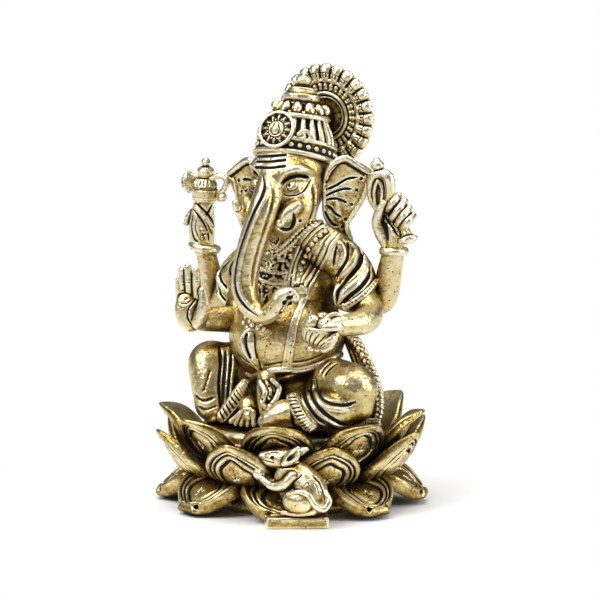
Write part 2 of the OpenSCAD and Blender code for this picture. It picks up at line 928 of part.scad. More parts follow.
ear_outline = [[7.6, 17.4], [10.4, 19.6], [13.2, 19.6], [15.6, 17.6], [18.2, 15], [17.4, 11], [16.2, 7.2], [15, 3.4],
    [14.8, -1.6], [13.4, -2], [11.2, 0.6], [7.6, 4]];

module ear_form(side) {
    on_neck() for (i = [0 : len(ear_outline) - 1]) hull() {
        for (p = [ear_outline[i], ear_outline[(i + 1) % len(ear_outline)], [11, 9.6]])
            translate([side * p[0], -0.8 + 0.32 * (p[0] - 8), p[1]]) cube([0.4, ear_t, 0.4], center = true);
    }
}

module ear(side) {
    color(gold) difference() {
        ear_form(side);
        head_form();
        torso_form();
        crown_space();
    }
}

module right_ear() ear(-1);
module left_ear() ear(1);

// ---- Crown and halo ----

band_h = 3;            // height of the beaded band
dome_foot_r = crown_r - 0.9;
dome_top_r = dome_foot_r - 2.6;
bead_count = 26;

module band_form() {
    on_crown() cylinder(r = crown_r, h = band_h, $fn = fine_n);
}

module crown_band() {
    color(gold) {
        band_form();
    }
}

module dome_form() {
    on_crown() translate([0, 0, band_h]) rotate_extrude($fn = fine_n)
        polygon([[0, 0], [dome_foot_r, 0], [dome_foot_r - 0.6, dome_h * 0.5], [dome_top_r, dome_h - 1.4], [0, dome_h - 1.4]]);
}

module crown_dome() {
    color(gold) dome_form();
}

// Stacked discs, knob and bud on top of the dome.
module crown_top() {
    color(gold) on_crown() translate([0, 0, band_h + dome_h - 1.4]) rotate_extrude($fn = fine_n)
        polygon([[0, 0], [dome_top_r + 0.9, 0], [dome_top_r + 0.9, 1], [3.4, 1.6], [3.2, 2.6], [4.6, 3.2], [4.6, 4.2], [2.8, 4.9],
            [1.2, 5.2], [1.9, 6], [1.6, 7], [0, 7.6]]);
}

module medallion_form() {
    on_crown() translate([0, 0.6 - crown_r, band_h + 1.6]) rotate([90 - 14, 0, 0]) cylinder(r = 4.2, h = 1.5, $fn = fine_n);
}

module crown_medallion() {
    color(gold) difference() {
        medallion_form();
        band_form();
        dome_form();
    }
}

module halo_frame() {
    on_neck() translate(halo_mid) rotate([90, 0, 0]) children();
}

plate_r = halo_r - 3.4;
boss_l = 5;            // length of the boss that joins the plate to the back of the crown

module plate_form() {
    halo_frame() rotate_extrude($fn = fine_n) polygon([[0, 0], [plate_r, 0], [plate_r, halo_t], [plate_r - 0.9, halo_t],
        [plate_r - 1.2, halo_t - 0.5], [5.8, halo_t - 0.5], [5.4, halo_t + 0.3], [4.6, halo_t + 0.3],
        [4.2, halo_t - 0.4], [2.8, halo_t - 0.4], [2.6, boss_l], [0, boss_l]]);
}

module halo_plate() {
    color(gold) difference() {
        plate_form();
        dome_form();
        band_form();
    }
}

// Flat lobes with round ends, each a little narrower than its share of the rim.
lobe_end_r = 0.42 * PI * 2 * (halo_r - 1.4) / lobe_count;

module halo_lobes() {
    color(gold) difference() {
        halo_frame() linear_extrude(halo_t) for (i = [0 : lobe_count - 1]) rotate(i * 360 / lobe_count) {
            polygon([[plate_r - 0.3, -0.75], [halo_r - lobe_end_r, -lobe_end_r], [halo_r - lobe_end_r, lobe_end_r],
                [plate_r - 0.3, 0.75]]);
            translate([halo_r - lobe_end_r, 0]) circle(lobe_end_r, $fn = 14);
        }
        halo_frame() translate([0, 0, -1]) cylinder(r = plate_r, h = halo_t + 2, $fn = fine_n);
    }
}

lotus_core();
lower_petals();
outer_petals();
inner_petals();
seat_pad();
seat_dowel();
mouse_plinth();
mouse_body();
mouse_tail();
mouse_sweet();
torso();
waist_sash();
front_pleats();
belly_pendant();
sacred_thread();
necklace();
shawl_border();
right_leg();
right_foot();
right_anklet();
left_leg();
left_foot();
left_anklet();
right_drape();
left_drape();
braided_sash();
sash_tassel();
shawl_tail();
goad_arm();
goad_hand();
goad_bangle();
goad_body();
goad_blade();
goad_hook();
blessing_arm();
blessing_hand();
noose_arm();
noose_hand();
noose_bangle();
noose_loop();
noose_tail();
bowl_arm();
bowl_hand();
bowl_bangle();
sweets_bowl();
sweets();
head();
trunk();
right_tusk();
left_tusk();
right_ear();
left_ear();
crown_band();
crown_dome();
crown_top();
crown_medallion();
halo_plate();
halo_lobes();
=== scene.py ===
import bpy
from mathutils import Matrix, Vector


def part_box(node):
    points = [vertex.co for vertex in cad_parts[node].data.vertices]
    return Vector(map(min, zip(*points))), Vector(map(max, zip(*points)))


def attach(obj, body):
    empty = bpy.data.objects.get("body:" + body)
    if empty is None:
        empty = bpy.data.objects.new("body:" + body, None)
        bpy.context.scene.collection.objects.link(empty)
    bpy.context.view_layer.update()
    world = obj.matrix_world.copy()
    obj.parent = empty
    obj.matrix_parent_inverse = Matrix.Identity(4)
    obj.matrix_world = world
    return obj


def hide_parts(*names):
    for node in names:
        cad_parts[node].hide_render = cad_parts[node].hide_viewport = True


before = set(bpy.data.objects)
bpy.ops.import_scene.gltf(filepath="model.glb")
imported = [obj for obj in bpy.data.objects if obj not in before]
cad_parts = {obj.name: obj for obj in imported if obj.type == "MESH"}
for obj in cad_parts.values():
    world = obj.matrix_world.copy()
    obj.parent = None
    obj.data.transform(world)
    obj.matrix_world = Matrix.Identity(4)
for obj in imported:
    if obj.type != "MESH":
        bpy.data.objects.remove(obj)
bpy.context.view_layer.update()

import math

import bpy
import numpy as np
import openvdb as vdb
from mathutils import Vector

bl_info = {
    "name": "Lotus deity statuette",
    "version": (1, 0, 0),
    "blender": (4, 5, 0),
    "location": "3D View > Sidebar > Statuette",
    "description": "Sculpts a cast antique-gold statuette of a seated elephant-headed deity on a lotus",
    "category": "Add Mesh",
}

MM = 0.001
SEED = 108
rng = np.random.default_rng(SEED)   # makes no two petals or marks quite alike


# ---------------------------------------------------------------- places in the frame, in millimetres

def box_mm(*nodes):
    """Lowest and highest corner of the named nodes together."""
    lows, highs = zip(*(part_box(n) for n in nodes))
    return np.min(lows, axis=0) * 1000, np.max(highs, axis=0) * 1000


PAD_LO, PAD_HI = box_mm("seat_pad")
SEAT = np.array([(PAD_LO[0] + PAD_HI[0]) / 2, (PAD_LO[1] + PAD_HI[1]) / 2, PAD_HI[2]])
NECK = SEAT + np.array([0, -1, 43.5])
QUARTER = math.radians(28)
TIP = math.radians(10)
RIGHT = np.array([math.cos(QUARTER), math.sin(QUARTER), 0])
INTO = np.array([-math.sin(QUARTER) * math.cos(TIP), math.cos(QUARTER) * math.cos(TIP), -math.sin(TIP)])
OVER = np.cross(RIGHT, INTO)


def seat(*p):
    """A point given from the middle of the seat's top."""
    return SEAT + np.array(p, float)


def neck(*p):
    """A point given from the top of the neck."""
    return NECK + np.array(p, float)


def quarter(pairs):
    """Points of the three-quarter plane, which faces the front left: across and up, in mm."""
    return np.array([a * RIGHT + b * OVER for a, b in pairs])


def spot(u, v, y):
    """The point at depth y that shows at u across and v up in the three-quarter plane."""
    sa, ca = math.sin(QUARTER), math.cos(QUARTER)
    x = (u - y * sa) / ca
    z = (v + x * sa * math.sin(TIP) - y * ca * math.sin(TIP)) / math.cos(TIP)
    return np.array([x, y, z])


def run(rows):
    """Points and radii from rows of u, v, y, radius."""
    return [spot(*r[:3]) for r in rows], [r[3] for r in rows]


# ---------------------------------------------------------------- shapes

def smooth_min(a, b, k):
    """The lower of two distances, blended over a width k."""
    if k <= 0:
        return np.minimum(a, b)
    h = np.maximum(k - np.abs(a - b), 0)
    return np.minimum(a, b) - h * h / (4 * k)


def turn(ax=0, ay=0, az=0):
    """Rotation matrix from degrees about X, then Y, then Z."""
    ax, ay, az = map(math.radians, (ax, ay, az))
    rx = np.array([[1, 0, 0], [0, math.cos(ax), -math.sin(ax)], [0, math.sin(ax), math.cos(ax)]])
    ry = np.array([[math.cos(ay), 0, math.sin(ay)], [0, 1, 0], [-math.sin(ay), 0, math.cos(ay)]])
    rz = np.array([[math.cos(az), -math.sin(az), 0], [math.sin(az), math.cos(az), 0], [0, 0, 1]])
    return rz @ ry @ rx


def egg(p, r, m=None):
    """An ellipsoid of half sizes r at p, turned by m."""
    p, r = np.array(p, float), np.array(r, float)
    m = np.eye(3) if m is None else m
    reach = np.abs(m) @ r

    def dist(x, y, z):
        x, y, z = x - p[0], y - p[1], z - p[2]
        q = [(m[0, i] * x + m[1, i] * y + m[2, i] * z) / r[i] for i in range(3)]
        a = np.sqrt(q[0] ** 2 + q[1] ** 2 + q[2] ** 2) + 1e-6
        b = np.sqrt((q[0] / r[0]) ** 2 + (q[1] / r[1]) ** 2 + (q[2] / r[2]) ** 2) + 1e-6
        return a * (a - 1) / b

    return p - reach, p + reach, dist


def rod(a, b, ra, rb=None):
    """A round bar from a to b whose radius runs from ra to rb."""
    a, b = np.array(a, float), np.array(b, float)
    rb = ra if rb is None else rb
    d = b - a
    n = float(d @ d) + 1e-9

    def dist(x, y, z):
        x, y, z = x - a[0], y - a[1], z - a[2]
        t = np.clip((x * d[0] + y * d[1] + z * d[2]) / n, 0, 1)
        return np.sqrt((x - t * d[0]) ** 2 + (y - t * d[1]) ** 2 + (z - t * d[2]) ** 2) - (ra + (rb - ra)
                                                                                           * t)

    r = max(ra, rb)
    return np.minimum(a, b) - r, np.maximum(a, b) + r, dist


def ball(p, r):
    """A ball of radius r at p."""
    return rod(p, p, r)


def block(p, half, m=None, edge=0.3):
    """A box of half sizes at p with rounded edges, turned by m."""
    p, half = np.array(p, float), np.array(half, float) - edge
    m = np.eye(3) if m is None else m
    reach = np.abs(m) @ (half + edge)

    def dist(x, y, z):
        x, y, z = x - p[0], y - p[1], z - p[2]
        q = [np.abs(m[0, i] * x + m[1, i] * y + m[2, i] * z) - half[i] for i in range(3)]
        out = np.sqrt(sum(np.maximum(v, 0) ** 2 for v in q))
        return out + np.minimum(np.maximum(np.maximum(q[0], q[1]), q[2]), 0) - edge

    return p - reach, p + reach, dist


def ring(p, m, r, t, flat=1.0):
    """A torus of radius r and rod radius t about the Z axis of m; flat squashes its rod along that axis."""
    p = np.array(p, float)
    reach = np.full(3, r + t)

    def dist(x, y, z):
        x, y, z = x - p[0], y - p[1], z - p[2]
        q = [m[0, i] * x + m[1, i] * y + m[2, i] * z for i in range(3)]
        a = np.sqrt(q[0] ** 2 + q[1] ** 2) - r
        return np.sqrt(a * a + (q[2] / flat) ** 2) - t

    return p - reach, p + reach, dist


def lathe(p, m, profile):
    """A turned solid about the Z axis of m: profile lists (height, radius) points, joined smoothly."""
    p = np.array(p, float)
    h, r = np.array(profile, float).T
    reach = np.full(3, math.hypot(np.abs(h).max(), r.max()))

    def dist(x, y, z):
        x, y, z = x - p[0], y - p[1], z - p[2]
        q = [m[0, i] * x + m[1, i] * y + m[2, i] * z for i in range(3)]
        a = np.sqrt(q[0] ** 2 + q[1] ** 2)
        d = (a - np.interp(q[2], h, r)) * 0.75
        return np.maximum(d, np.maximum(h[0] - q[2], q[2] - h[-1]))

    return p - reach, p + reach, dist


def curve(points, n):
    """n points on a smooth curve through the given ones; works for any number of columns."""
    p = np.array(points, float)
    if len(p) < 3:
        t = np.linspace(0, 1, n)[:, None]
        return p[0] * (1 - t) + p[-1] * t
    q = np.vstack([2 * p[0] - p[1], p, 2 * p[-1] - p[-2]])
    out = []
    for t in np.linspace(0, len(p) - 1 - 1e-6, n):
        i = int(t)
        f = t - i
        a, b, c, d = q[i:i + 4]
        out.append(0.5 * (2 * b + (c - a) * f + (2 * a - 5 * b + 4 * c - d) * f * f
                          + (3 * b - a - 3 * c + d) * f ** 3))
    return np.array(out)


def limb(points, radii, n=None):
    """Rods along a smooth curve, with radii that change smoothly too."""
    n = n or 5 * (len(points) - 1) + 1
    rows = np.hstack([np.array(points, float), np.array(radii, float)[:, None]])
    c = curve(rows, n)
    return [rod(a[:3], b[:3], a[3], b[3]) for a, b in zip(c[:-1], c[1:])]


def wire(points, r):
    """Rods of one radius, or of tapering radii, through points just as they are."""
    r = np.broadcast_to(r, len(points))
    return [rod(a, b, ra, rb) for a, b, ra, rb in zip(points[:-1], points[1:], r[:-1], r[1:])]


def box_blur(f, r):
    """Mean over 2r+1 cells along each axis."""
    if r < 1:
        return f
    for k in range(3):
        pad = [(0, 0)] * 3
        pad[k] = (r + 1, r)
        c = np.cumsum(np.pad(f, pad, mode="edge"), axis=k, dtype=np.float64)
        n = f.shape[k]
        a = np.take(c, range(2 * r + 1, 2 * r + 1 + n), axis=k)
        b = np.take(c, range(0, n), axis=k)
        f = ((a - b) / (2 * r + 1)).astype(np.float32)
    return f


class Clay:
    """A block of modelling clay: signed distances, in mm, on a regular grid. Below zero is metal."""

    def __init__(self, lo, hi, step, pad=0.9):
        self.lo = np.array(lo, float) - pad
        self.step = step
        self.n = np.ceil((np.array(hi, float) + pad - self.lo) / step).astype(int) + 1
        self.f = np.full(self.n, 4.0, np.float32)
        self.axes = [(self.lo[k] + step * np.arange(self.n[k])).astype(np.float32) for k in range(3)]

    def window(self, lo, hi, pad):
        """The grid's slices round a box, and the coordinates in them."""
        a = np.clip(np.floor((lo - pad - self.lo) / self.step).astype(int), 0, self.n)
        b = np.clip(np.ceil((hi + pad - self.lo) / self.step).astype(int) + 1, 0, self.n)
        cut = tuple(slice(i, j) for i, j in zip(a, b))
        x, y, z = (self.axes[k][cut[k]] for k in range(3))
        return cut, x[:, None, None], y[None, :, None], z[None, None, :]

    def gather(self, shapes, k):
        """The shapes' joint distance, and where it is in the block."""
        lo = np.min([s[0] for s in shapes], axis=0)
        hi = np.max([s[1] for s in shapes], axis=0)
        pad = k + 3 * self.step
        cut, *_ = self.window(lo, hi, pad)
        d = np.full([s.stop - s.start for s in cut], 4.0, np.float32)
        if d.size == 0:
            return cut, d
        for s in shapes:
            part, x, y, z = self.window(s[0], s[1], pad)
            if any(p.stop <= p.start for p in part):
                continue
            local = tuple(slice(p.start - c.start, p.stop - c.start) for p, c in zip(part, cut))
            d[local] = np.minimum(d[local], s[2](x, y, z))
        return cut, d

    def add(self, shapes, k=0.0):
        """Puts shapes on, blended over a width k."""
        shapes = shapes if isinstance(shapes, list) else [shapes]
        cut, d = self.gather(shapes, k)
        self.f[cut] = smooth_min(self.f[cut], d, k)
        return self

    def cut(self, shapes, k=0.0):
        """Carves shapes away, with edges blended over a width k."""
        shapes = shapes if isinstance(shapes, list) else [shapes]
        cut, d = self.gather(shapes, k)
        self.f[cut] = -smooth_min(-self.f[cut], d, k)
        return self

    def at(self, p):
        """Distances at points, between the grid's own."""
        g = (np.asarray(p, np.float64) - self.lo) / self.step
        g = np.clip(g, 0, self.n - 1.001)
        i = g.astype(int)
        w = g - i
        out = 0
        for a in (0, 1):
            for b in (0, 1):
                for c in (0, 1):
                    s = (w[..., 0] if a else 1 - w[..., 0]) * (w[..., 1] if b else 1 - w[..., 1]) \
                        * (w[..., 2] if c else 1 - w[..., 2])
                    out = out + s * self.f[i[..., 0] + a, i[..., 1] + b, i[..., 2] + c]
        return out

    def lay(self, points, way, n=0):
        """Moves points along way until they lie on the clay; those that miss are dropped."""
        p = curve(points, n) if n else np.array(points, float)
        way = np.broadcast_to(np.array(way, float), p.shape)
        way = way / np.linalg.norm(way, axis=1)[:, None]
        t = np.arange(-45, 45, self.step)
        q = p[:, None, :] + way[:, None, :] * t[None, :, None]
        inside_box = np.all((q > self.lo) & (q < self.lo + self.step * (self.n - 1)), axis=2)
        value = np.where(inside_box, self.at(q), 4.0)
        first = (value < 0).argmax(axis=1)
        ok = (value < 0).any(axis=1)
        row = np.arange(len(p))
        now, before = value[row, first], value[row, np.maximum(first - 1, 0)]
        share = np.where((before > 0) & (before < 2), now / np.minimum(now - before, -1e-6), 0)
        return (q[row, first] - way * (share * self.step)[:, None])[ok]

    def groove(self, points, way, width=0.5, depth=0.3, n=24, k=0.1, taper=True):
        """Engraves a line of that width and depth along the surface."""
        p = self.lay(points, way, n)
        if len(p) > 1:
            r = np.full(len(p), width / 2)
            if taper:
                r *= np.clip(np.sin(np.linspace(0.12, math.pi - 0.12, len(p))) * 2.2, 0.35, 1)
            out = np.array(way, float) / np.linalg.norm(way)
            self.cut(wire(p + out * (depth - width / 2), r), k)
        return self

    def ridge(self, points, way, width=0.6, height=0.3, n=24, k=0.25, taper=True):
        """Lays a raised line of that width along the surface."""
        p = self.lay(points, way, n)
        if len(p) > 1:
            r = np.full(len(p), width / 2)
            if taper:
                r *= np.clip(np.sin(np.linspace(0.12, math.pi - 0.12, len(p))) * 2.2, 0.35, 1)
            out = np.array(way, float) / np.linalg.norm(way)
            self.add(wire(p - out * (height - width / 2), r), k)
        return self

    def engrave(self, pairs, *stroke):
        """A groove whose line is given in the three-quarter plane."""
        return self.groove(quarter(pairs), INTO, *stroke)

    def raise_line(self, pairs, *stroke):
        """A ridge whose line is given in the three-quarter plane."""
        return self.ridge(quarter(pairs), INTO, *stroke)

    def beads(self, points, way, r, lift=0.5, n=0, k=0.05):
        """Sets a bead of radius r at each point laid on the surface."""
        p = self.lay(points, way, n)
        out = np.array(way, float) / np.linalg.norm(way)
        if len(p):
            self.add([ball(q - out * r * lift, r) for q in p], k)
        return self

    def dots(self, points, way, r, k=0.05):
        """Drills a small hole at each point."""
        p = self.lay(points, way)
        if len(p):
            self.cut([ball(q, r) for q in p], k)
        return self


def clay_round(points, room, step):
    """A block of clay round points, with some room on every side."""
    return Clay(np.min(points, axis=0) - room, np.max(points, axis=0) + room, step)


def trim_to_seat(clay):
    """Cuts away whatever hangs below the seat's top."""
    clay.cut(block(seat(0, 0, -6), (60, 60, 6)))


# ---------------------------------------------------------------- meshes

def fill_mesh(mesh, points, quads, tris=()):
    """Fills an empty mesh from arrays."""
    quads = np.asarray(quads, np.int32).reshape(-1, 4)
    tris = np.asarray(tris, np.int32).reshape(-1, 3)
    mesh.vertices.add(len(points))
    mesh.vertices.foreach_set("co", np.asarray(points, np.float32).ravel())
    loops = np.concatenate([quads.ravel(), tris.ravel()])
    mesh.loops.add(len(loops))
    mesh.loops.foreach_set("vertex_index", loops)
    sizes = np.concatenate([np.full(len(quads), 4), np.full(len(tris), 3)])
    mesh.polygons.add(len(sizes))
    mesh.polygons.foreach_set("loop_start", np.concatenate([[0], np.cumsum(sizes)[:-1]]).astype(np.int32))
    mesh.polygons.foreach_set("use_smooth", np.ones(len(sizes), bool))
    mesh.update(calc_edges=True)
    mesh.validate()


def piece(name, mesh, nodes, material):
    """Puts a finished mesh into the scene in place of its CAD nodes."""
    mesh.materials.append(material)
    ob = bpy.data.objects.new(name, mesh)
    bpy.context.scene.collection.objects.link(ob)
    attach(ob, "root")
    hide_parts(*nodes)
    return ob


def recess_map(f, step, near, far):
    """How deep each place lies below its surroundings, from the share of metal close by and further off."""
    solid = np.clip(0.5 - f / (1.4 * step), 0, 1).astype(np.float32)
    a = box_blur(box_blur(solid, max(1, round(near / step / 2))), max(1, round(near / step / 2)))
    b = box_blur(box_blur(a, max(1, round(far / step / 2))), max(1, round(far / step / 2)))
    return a, b


def cast(name, clay, nodes, material, soften=1, near=0.42, far=1.5):
    """Turns clay into a mesh, with how deep each point lies in the recesses kept as attributes."""
    f = clay.f
    for k in range(3):
        for end in (0, -1):
            face = f[(slice(None),) * k + (end,)]
            np.maximum(face, 0.5 * clay.step, out=face)
    for _ in range(soften):
        f = box_blur(f, 1) * 0.6 + f * 0.4
    grid = vdb.FloatGrid()
    grid.background = 4.0
    grid.copyFromArray(np.ascontiguousarray(f), tolerance=0)
    points, tris, quads = grid.convertToPolygons(isovalue=0.0, adaptivity=0.0)
    points = np.asarray(points, np.float64) * clay.step + clay.lo
    a, b = recess_map(f, clay.step, near, far)
    keep = clay.f
    clay.f = a
    fine = clay.at(points)
    clay.f = b
    broad = clay.at(points)
    clay.f = keep
    mesh = bpy.data.meshes.new(name)
    fill_mesh(mesh, points * MM, np.asarray(quads)[:, ::-1], np.asarray(tris)[:, ::-1] if len(tris) else ())
    for key, values in (("recess", fine * 2 - 1), ("hollow", broad * 2 - 1)):
        mesh.attributes.new(key, "FLOAT", "POINT").data.foreach_set("value", values.astype(np.float32))
    return piece(name, mesh, nodes, material)


# ---------------------------------------------------------------- finish

def linear(code):
    """sRGB hex to linear RGBA."""
    c = [int(code[i:i + 2], 16) / 255 for i in (1, 3, 5)]
    return [v / 12.92 if v <= 0.04045 else ((v + 0.055) / 1.055) ** 2.4 for v in c] + [1]


def node(tree, kind, links=None, stops=(), **settings):
    """Adds a node and sets its properties or inputs by name; each link is a socket or a plain value.

    A colour ramp takes its stops as (place, hex) pairs.
    """
    n = tree.nodes.new(kind)
    for key, value in settings.items():
        if hasattr(n, key):
            setattr(n, key, value)
        else:
            n.inputs[key.replace("_", " ")].default_value = value
    for key, source in (links or {}).items():
        if isinstance(source, bpy.types.NodeSocket):
            tree.links.new(source, n.inputs[key])
        else:
            n.inputs[key].default_value = source
    if stops:
        while len(n.color_ramp.elements) < len(stops):
            n.color_ramp.elements.new(0.5)
        for e, (place, code) in zip(n.color_ramp.elements, stops):
            e.position = place
            e.color = linear(code)
    return n


def weigh(tree, start, *terms):
    """A start value plus each source times its weight."""
    for source, weight in terms:
        start = node(tree, "ShaderNodeMath", {0: source, 1: weight, 2: start},
                     operation="MULTIPLY_ADD").outputs[0]
    return start


# sizes of the metal's surface patterns, in mm
WEAR = 3.846        # patches where the patina was rubbed back more or less
LUMP = 1.613        # soft unevenness left from the wax
PIT = 1.111         # spacing of the casting pits, each about 0.4 mm wide
GRAIN = 0.5263      # bite of the hand polish, drawn a little coarse so that it shows


def cast_brass(name, props):
    """Cast brass, gold plated, blackened with patina and rubbed back by hand.

    The high places are bright pale gold, the flanks a warmer gold, and the blackened recesses
    make every engraved line readable. Where nearby parts shade the metal, the colour is darkened too:
    painted shade from ambient occlusion. Small pits come from the casting.
    """
    m = bpy.data.materials.new(name)
    m.use_nodes = True
    t = m.node_tree
    t.nodes.clear()
    place = node(t, "ShaderNodeTexCoord").outputs["Object"]
    fine = node(t, "ShaderNodeAttribute", attribute_name="recess").outputs["Fac"]
    broad = node(t, "ShaderNodeAttribute", attribute_name="hollow").outputs["Fac"]
    cloud, grain, lumps = (
        node(t, "ShaderNodeTexNoise", {"Vector": place}, Scale=1 / (size * MM), Detail=detail,
             Roughness=rough).outputs["Fac"]
        for size, detail, rough in ((WEAR, 4.0, 0.6), (GRAIN, 3.0, 0.6), (LUMP, 2.0, 0.5)))
    pits = node(t, "ShaderNodeTexVoronoi", {"Vector": place}, Scale=1 / (PIT * MM),
                Randomness=1.0).outputs["Distance"]
    # ambient occlusion within 6 mm: painted shade, lower where nearby parts block the light
    shade = node(t, "ShaderNodeAmbientOcclusion", Distance=0.006, samples=6).outputs["AO"]
    # how low and how hard to reach each place is: the patina stays in the recesses, and the ambient
    # occlusion term adds painted shade where nearby parts shade the metal
    depth = weigh(t, 0.06, (fine, 2.3), (broad, 0.9), (shade, -0.62), (cloud, 0.62), (grain, 0.5))
    # the dark mask: real patina in the recesses plus painted shade from the occlusion term, and the casting
    # pits
    pit, wear, patina_and_shade = (
        node(t, "ShaderNodeMapRange", {"Value": source, "From Min": low, "From Max": high},
             interpolation_type="SMOOTHSTEP").outputs["Result"]
        for source, low, high in ((pits, 0.26, 0.12), (cloud, 0.46, 0.56),
                                  (depth, props.patina_start, props.patina_start + 0.25)))
    pit = node(t, "ShaderNodeMath", {0: pit, 1: wear}, operation="MULTIPLY").outputs[0]
    patina_and_shade = node(t, "ShaderNodeMath", {0: patina_and_shade, 1: weigh(t, 0.0, (pit, 0.85))},
                  operation="MAXIMUM").outputs[0]
    # colour runs from bright gold to dark brown as depth grows, so the occlusion term paints shade into it
    # as well as the patina
    level = node(t, "ShaderNodeMath", {0: depth, 1: 0.9, 2: 0.5}, operation="MULTIPLY_ADD",
                 use_clamp=True).outputs[0]
    colour = node(t, "ShaderNodeValToRGB", {"Fac": level}, (
        (0.18, props.bright), (0.42, props.body), (0.62, props.warm), (0.82, "#4A3413")))
    tint = node(t, "ShaderNodeMix", {"Factor": patina_and_shade, 6: colour.outputs["Color"],
                                     7: linear(props.patina_and_shade)}, data_type="RGBA")
    relief = weigh(t, 0.0, (grain, 0.45), (cloud, 1.6), (lumps, 1.6), (pit, -1.2))
    bump = node(t, "ShaderNodeBump", {"Height": relief}, Strength=0.8, Distance=0.0002)
    shader = node(t, "ShaderNodeBsdfPrincipled", {
        "Base Color": tint.outputs[2],
        "Roughness": weigh(t, props.polish, (patina_and_shade, 0.42), (grain, 0.22)),
        "Metallic": weigh(t, 1.0, (patina_and_shade, -0.75)),
        "Normal": bump.outputs["Normal"]})
    node(t, "ShaderNodeOutputMaterial", {"Surface": shader.outputs["BSDF"]})
    return m


def gold():
    """The finish, made once."""
    m = bpy.data.materials.get("antique_gold_cast_brass")
    return m or cast_brass("antique_gold_cast_brass", bpy.context.scene.statuette_finish)


# ---------------------------------------------------------------- lotus

def petal_sheet(profile, half_width, cup, thick, marked_top, style):
    """One petal as a closed sheet: rings of points round its boss, on both faces.

    Returns points in the petal's own frame (tip towards -Y), quads and the recess of each point.
    """
    prof = curve(profile, 60)
    arc = np.concatenate([[0], np.cumsum(np.linalg.norm(np.diff(prof, axis=0), axis=1))])
    length = arc[-1]
    v = np.linspace(0, 1, 160)
    wide = half_width * np.sin(np.pi * (0.15 + 0.85 * v ** style["fall"])) ** style["round"]
    wide = np.maximum(wide, 0)
    edge = np.vstack([np.stack([wide, v * length], 1), np.stack([-wide, v * length], 1)[::-1]])
    mid = np.array([0, style["boss"] * length])
    rel = edge - mid
    ang = np.arctan2(rel[:, 0], rel[:, 1])
    order = np.argsort(ang)
    n_a, n_r = style["around"], 46
    theta = np.linspace(-np.pi, np.pi, n_a, endpoint=False)
    reach = np.interp(theta, ang[order], np.linalg.norm(rel, axis=1)[order], period=2 * np.pi)
    rho = np.linspace(0, 1, n_r + 1)[1:] ** 0.85
    # height of the worked face from the boss out to the rim
    key = np.array(style["key"], float)
    fine_rho = np.linspace(0, 1, 400)
    height = np.interp(fine_rho, key[:, 0], key[:, 1])
    w = 7
    kernel = np.hanning(2 * w + 1)
    height = np.convolve(np.pad(height, w, mode="edge"), kernel / kernel.sum(), "valid")
    w = 26
    kernel = np.hanning(2 * w + 1)
    about = np.convolve(np.pad(height, w, mode="edge"), kernel / kernel.sum(), "valid")
    rr, tt = np.meshgrid(rho, theta, indexing="ij")
    rad = rr * reach[None, :]
    u = rad * np.sin(tt)
    s = mid[1] + rad * np.cos(tt)
    wave = rng.normal(0, 1, (3,))
    wobble = 0.02 * np.sin(3 * tt + wave[0]) + 0.015 * np.sin(5 * tt + wave[1])
    look = np.clip(rr + wobble * (1 - rr) * 2, 0, 1)
    worked = np.interp(look, fine_rho, height) * style["relief"]
    recess = np.interp(look, fine_rho, about - height) * 2.2

    def place(u, s, off):
        r = np.interp(s, arc, prof[:, 0])
        z = np.interp(s, arc, prof[:, 1])
        e = 0.4
        dr = np.interp(s + e, arc, prof[:, 0]) - np.interp(s - e, arc, prof[:, 0])
        dz = np.interp(s + e, arc, prof[:, 1]) - np.interp(s - e, arc, prof[:, 1])
        ln = np.hypot(dr, dz) + 1e-6
        nr, nz = dz / ln, -dr / ln          # outward and down: the outer face's normal
        c = (u / half_width) ** 2
        r = r + nr * off - cup[0] * c
        z = z + nz * off + cup[1] * c
        return np.stack([u, -r, z], -1)

    rim = np.sqrt(np.clip(1 - np.clip((rr - 0.9) / 0.1, 0, 1) ** 2, 0, 1))
    half = thick / 2 * (1 - 0.5 * np.clip(s / length, 0, 1) ** 4)
    worked = worked * (1 - 0.85 * np.clip((s / length - 0.84) / 0.1, 0, 1))
    recess = recess * (1 - 0.6 * np.clip((s / length - 0.84) / 0.1, 0, 1))
    outer = place(u, s, half * rim + (0 if marked_top else 1) * worked * rim)
    inner = place(u, s, -half * rim - (1 if marked_top else 0) * worked * rim)
    top_mid = place(np.array([0.0]), np.array([mid[1]]),
                    np.array([thick / 2 + (0 if marked_top else height[0] * style["relief"])]))
    low_mid = place(np.array([0.0]), np.array([mid[1]]),
                    np.array([-thick / 2 - (height[0] * style["relief"] if marked_top else 0)]))
    points = np.vstack([outer.reshape(-1, 3), inner[:-1].reshape(-1, 3), top_mid, low_mid])
    n_out = n_r * n_a
    i, j = np.meshgrid(np.arange(n_r - 1), np.arange(n_a), indexing="ij")
    jn = (j + 1) % n_a
    q1 = np.stack([i * n_a + j, (i + 1) * n_a + j, (i + 1) * n_a + jn, i * n_a + jn], -1).reshape(-1, 4)
    i, j = np.meshgrid(np.arange(n_r - 2), np.arange(n_a), indexing="ij")
    jn = (j + 1) % n_a
    o = n_out
    q2 = np.stack([o + i * n_a + j, o + i * n_a + jn, o + (i + 1) * n_a + jn, o + (i + 1) * n_a + j],
                  -1).reshape(-1, 4)
    j = np.arange(n_a)
    jn = (j + 1) % n_a
    last_in = o + (n_r - 2) * n_a
    last_out = (n_r - 1) * n_a
    q3 = np.stack([last_in + j, last_in + jn, last_out + jn, last_out + j], -1)
    a, b = len(points) - 2, len(points) - 1
    t1 = np.stack([np.full(n_a, a), j, jn], -1)
    t2 = np.stack([np.full(n_a, b), o + jn, o + j], -1)
    plain = np.full(rr.shape, -0.05)
    marks = (plain, recess) if marked_top else (recess, plain)
    depth = np.concatenate([marks[0].ravel(), marks[1][:-1].ravel(), [0, 0]])
    return points, np.vstack([q1, q2, q3]), np.vstack([t1, t2]), depth


